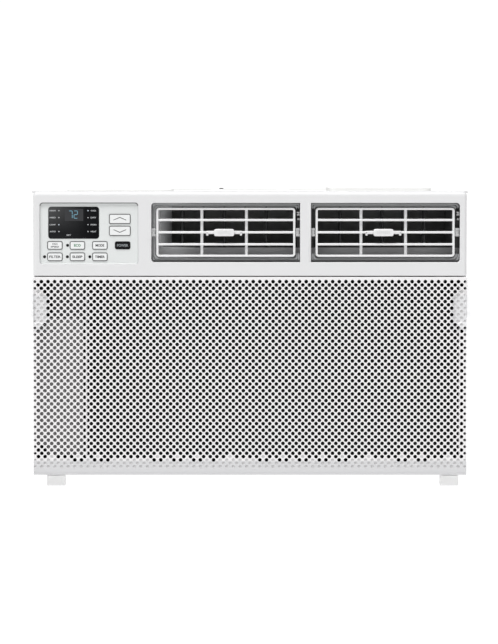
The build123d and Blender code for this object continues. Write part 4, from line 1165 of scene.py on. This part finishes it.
def build_coil(node, x0, x1, y0, y1, z0, z1, bends):
    """Finned coil as separate fins, end plates and copper bends."""
    leg_z = box(node)[0].z
    pitch = 2.1
    fins = []
    count = int((x1 - x0 - 6) / pitch)
    for i in range(count):
        x = x0 + 3 + (i + 0.5) * pitch
        fins.append(rounded_box((x - 0.11, y0, z0 + 3), (x + 0.11, y1, z1 - 3), 0))
    coating = BLACK_FINS if node == "evaporator_coil" else FINS
    piece(f"{node}_fins", fins, coating, "root", (node,), smooth=False)
    plates, tubes = [], []
    step = (z1 - z0) / bends
    y = (y0 + y1) / 2
    for end, out in ((x0, -1), (x1, 1)):
        xs = sorted((end, end - out * 2))
        plates.append(rounded_box((xs[0], y0 - 1, leg_z), (xs[1], y1 + 1, z1), 0.3))
        for i in range(bends):
            z = z0 + (i + 0.5) * step
            arc = []
            for k in range(13):
                turn = math.pi * k / 12
                arc.append((end + out * step / 4 * math.sin(turn), y, z - step / 4 * math.cos(turn)))
            start = (end - out * 1.5, y, z - step / 4)
            stop = (end - out * 1.5, y, z + step / 4)
            tubes.append(tube([start] + arc + [stop], 4, 12))
    runs = []
    for i in range(bends * 2):
        z = z0 + (i + 0.5) * step / 2
        runs.append(tube([(x0 + 2, y, z), (x1 - 2, y, z)], 4, 8))
    if coating is BLACK_FINS:
        piece(f"{node}_runs", runs, coating, "root")
    else:
        tubes += runs
    piece(f"{node}_ends", plates, ZINC, "root")
    piece(f"{node}_tubes", tubes, COPPER, "root")


BLADES, BLADE_THICKNESS = 40, 0.6


def build_blower():
    """Centrifugal wheel with many forward-curved blades."""
    lo, hi = box("blower_wheel")
    x, z = (lo.x + hi.x) / 2, (lo.z + hi.z) / 2
    radius = (hi.x - lo.x) / 2
    y0, y1 = lo.y, hi.y
    parts = [lathe([(6.2, 0), (radius * 0.99, 0), (radius * 0.99, 3), (6.2, 3)],
                   (x, y1 - 3, z), (0, 1, 0), 64)]
    parts.append(lathe([(6.1, -30), (13, -30), (16, 0), (6.1, 0)],
                       (x, y1 - 2, z), (0, 1, 0), 40))
    rim = []
    for k in range(65):
        turn = 2 * math.pi * k / 64
        rim.append((x + (radius - 3) * math.cos(turn), y0 + 2.6, z + (radius - 3) * math.sin(turn)))
    parts.append(tube(rim, 2.5, 8))
    for i in range(BLADES):
        a = 2 * math.pi * i / BLADES
        strip_front = []
        for k in range(5):
            share = k / 4
            r = radius - 17 + share * 14.5
            turn = a + 0.10 * share * share
            strip_front.append((x + r * math.cos(turn), z + r * math.sin(turn)))
        step_x, step_z = -math.sin(a) * BLADE_THICKNESS, math.cos(a) * BLADE_THICKNESS
        strip_back = [(px + step_x, pz + step_z) for px, pz in strip_front]
        parts.append(prism(strip_front + strip_back[::-1], y0 + 2, y1 - 1))
    piece("blower_wheel_blades", parts, FAN, "fan_rotor", ("blower_wheel",))


# Profiles of the screws: radius, and height over the sheet they hold.
PAN_HEAD = [(2.0, -5.5), (2.0, 0.0), (4.2, 0.0), (4.15, 0.8), (3.4, 1.6), (2.0, 2.05), (0.2, 2.15)]
TOP_CAP = [(0.2, 0.0), (3.6, 0.0), (3.5, 0.9), (2.2, 1.6), (0.2, 1.7)]
ROOF_Z = 447.0


def build_screws():
    """Pan-head screws with a cross recess, where the cabinet meets the base pan, and one on the roof."""
    lo, hi = box("cabinet_screws")
    z = (lo.z + hi.z) / 2
    parts, recesses = [], []
    for side in (-1, 1):
        face = side * 325.0
        for y in (-200.0, 0.0, 200.0, 310.0):
            parts.append(lathe(PAN_HEAD, (face, y, z), (side, 0, 0), 24))
            xs = sorted((face + side * 1.9, face + side * 2.2))
            recesses.append(rounded_box((xs[0], y - 2.0, z - 0.35), (xs[1], y + 2.0, z + 0.35), 0))
            recesses.append(rounded_box((xs[0], y - 0.35, z - 2.0), (xs[1], y + 0.35, z + 2.0), 0))
    cap = lathe(TOP_CAP, (-46.7, 30, ROOF_Z), (0, 0, 1), 24)
    piece("top_screw", [cap], BLACK_PAINT, "root")
    piece("cabinet_screw_heads", parts, STEEL, "root", ("cabinet_screws",))
    piece("cabinet_screw_recesses", recesses, BLACK_PAINT, "root", smooth=False)


# Material and bevel of each CAD node whose shape is right as it is.
CARRIED = (
    (WHITE, 0.0, "fascia"),
    (PANEL, 0.0, "control_overlay"),
    (BOARD, 0.2, "control_board"),
    (DUCT, 0.4, "outlet_duct"),
    (SCROLL, 0.6, "blower_scroll"),
    (ZINC, 0.0, "fan_motor partition"),
    (STEEL, 0.4, "motor_shaft"),
    (ZINC, 0.3, "motor_bracket control_box"),
    (FAN, 0.5, "condenser_shroud"),
    (FAN, 0.4, "condenser_fan"),
    (BLACK_PAINT, 0.8, "compressor"),
    (RUBBER, 0.8, "compressor_grommets"),
    (BLACK_PAINT, 0.5, "accumulator"),
    (COPPER, 0.0, "refrigerant_tubes"),
    (COPPER, 0.3, "capillary_tube"),
    (STEEL, 0.8, "run_capacitor"),
    (RUBBER, 0.5, "cord_gland drain_spout"),
    (CABINET, 0.5, "cabinet rear_guard"),
    (CABINET, 0.4, "base_pan"),
    (FOOT, 0.8, "feet"),
    (DARK, 0.2, "vane_link_left vane_link_right"),
)


def build_carried():
    """Materials and soft edges of the CAD nodes that are shown as they are."""
    for material, bevel, nodes in CARRIED:
        for node in nodes.split():
            dress(node, material, bevel)
    for side in ("left", "right"):
        for number in range(1, 6):
            dress(f"vane_{side}_{number}", DARK)


# ================================================================ stage, lights and camera

def build_stage():
    """Pale floor."""
    size = 30.0
    mesh = bpy.data.meshes.new("floor")
    corners = [(-size, -size, 0), (size, -size, 0), (size, size, 0), (-size, size, 0)]
    mesh.from_pydata(corners, [], [(0, 1, 2, 3)])
    floor = bpy.data.objects.new("floor", mesh)
    bpy.context.collection.objects.link(floor)
    surface = Surface("light_table", (0.24, 0.24, 0.24), 0.8, specular=0.1)
    surface.tint(surface.remap(surface.noise(1.5, 3.0), 0.0, 0.3), (0.22, 0.22, 0.22))
    surface.set("Emission Color", (1.0, 1.0, 1.0, 1.0))
    surface.set("Emission Strength", TABLE_GLOW)
    mesh.materials.append(surface.material)


def soft_sun(name, source, strength, spread):
    """Wide, even light from one side, as a large softbox far away gives."""
    light = bpy.data.lights.new(name, "SUN")
    light.energy = strength
    light.angle = math.radians(spread)
    lamp = bpy.data.objects.new(name, light)
    lamp.location = source
    lamp.rotation_euler = Vector(source).to_track_quat("Z", "Y").to_euler()
    bpy.context.collection.objects.link(lamp)


def build_lights():
    """Even light from all round, a backdrop that only the camera sees, and two soft suns."""
    world = bpy.data.worlds.new("studio")
    bpy.context.scene.world = world
    world.use_nodes = True
    tree = world.node_tree
    background = tree.nodes["Background"]
    background.inputs["Color"].default_value = (1.0, 1.0, 1.0, 1.0)
    backdrop = tree.nodes.new("ShaderNodeLightPath")
    level = tree.nodes.new("ShaderNodeMapRange")
    level.inputs["To Min"].default_value = SKY
    level.inputs["To Max"].default_value = BACKDROP
    tree.links.new(backdrop.outputs["Is Camera Ray"], level.inputs["Value"])
    tree.links.new(level.outputs["Result"], background.inputs["Strength"])
    soft_sun("key", (-0.22, -0.44, 1.15), KEY_LIGHT, 30)
    soft_sun("rear", (0.5, 0.9, 0.8), REAR_LIGHT, 80)


def build_camera():
    """Camera a little above the unit, tilted down and shifted so that the unit sits where it does."""
    camera = bpy.data.cameras.new("camera")
    camera.sensor_width = SENSOR
    drop = EYE_Z - VIEW_Z
    reach = math.hypot(VIEW_DISTANCE, drop)
    camera.lens = SENSOR * reach / VIEW_HEIGHT
    camera.shift_y = -VIEW_SHIFT
    camera.clip_end = 100
    tilt = math.atan2(drop, VIEW_DISTANCE) - math.atan(VIEW_SHIFT * VIEW_HEIGHT / reach)
    holder = bpy.data.objects.new("camera", camera)
    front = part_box("front_grille")[0].y
    holder.location = (VIEW_X, front - VIEW_DISTANCE, EYE_Z)
    holder.rotation_euler = (math.radians(90) - tilt, 0, 0)
    bpy.context.collection.objects.link(holder)
    bpy.context.scene.camera = holder
    bpy.context.scene.view_settings.view_transform = "Standard"


build_camera()
build_lights()
build_stage()
build_carried()
build_grille()
build_filter()
for vent_side, vent_x0, vent_x1 in VENTS:
    build_louver(vent_side)
    build_tab(vent_side)
    build_vent_trim(vent_side, vent_x0, vent_x1)
build_panel_trim()
build_intake_seal()
build_keys()
build_display()
build_coil("evaporator_coil", -236, 300, -300, -264, 46, 324, 8)
build_coil("condenser_coil", -285, 285, 285, 323, 46, 420, 10)
build_blower()
build_screws()
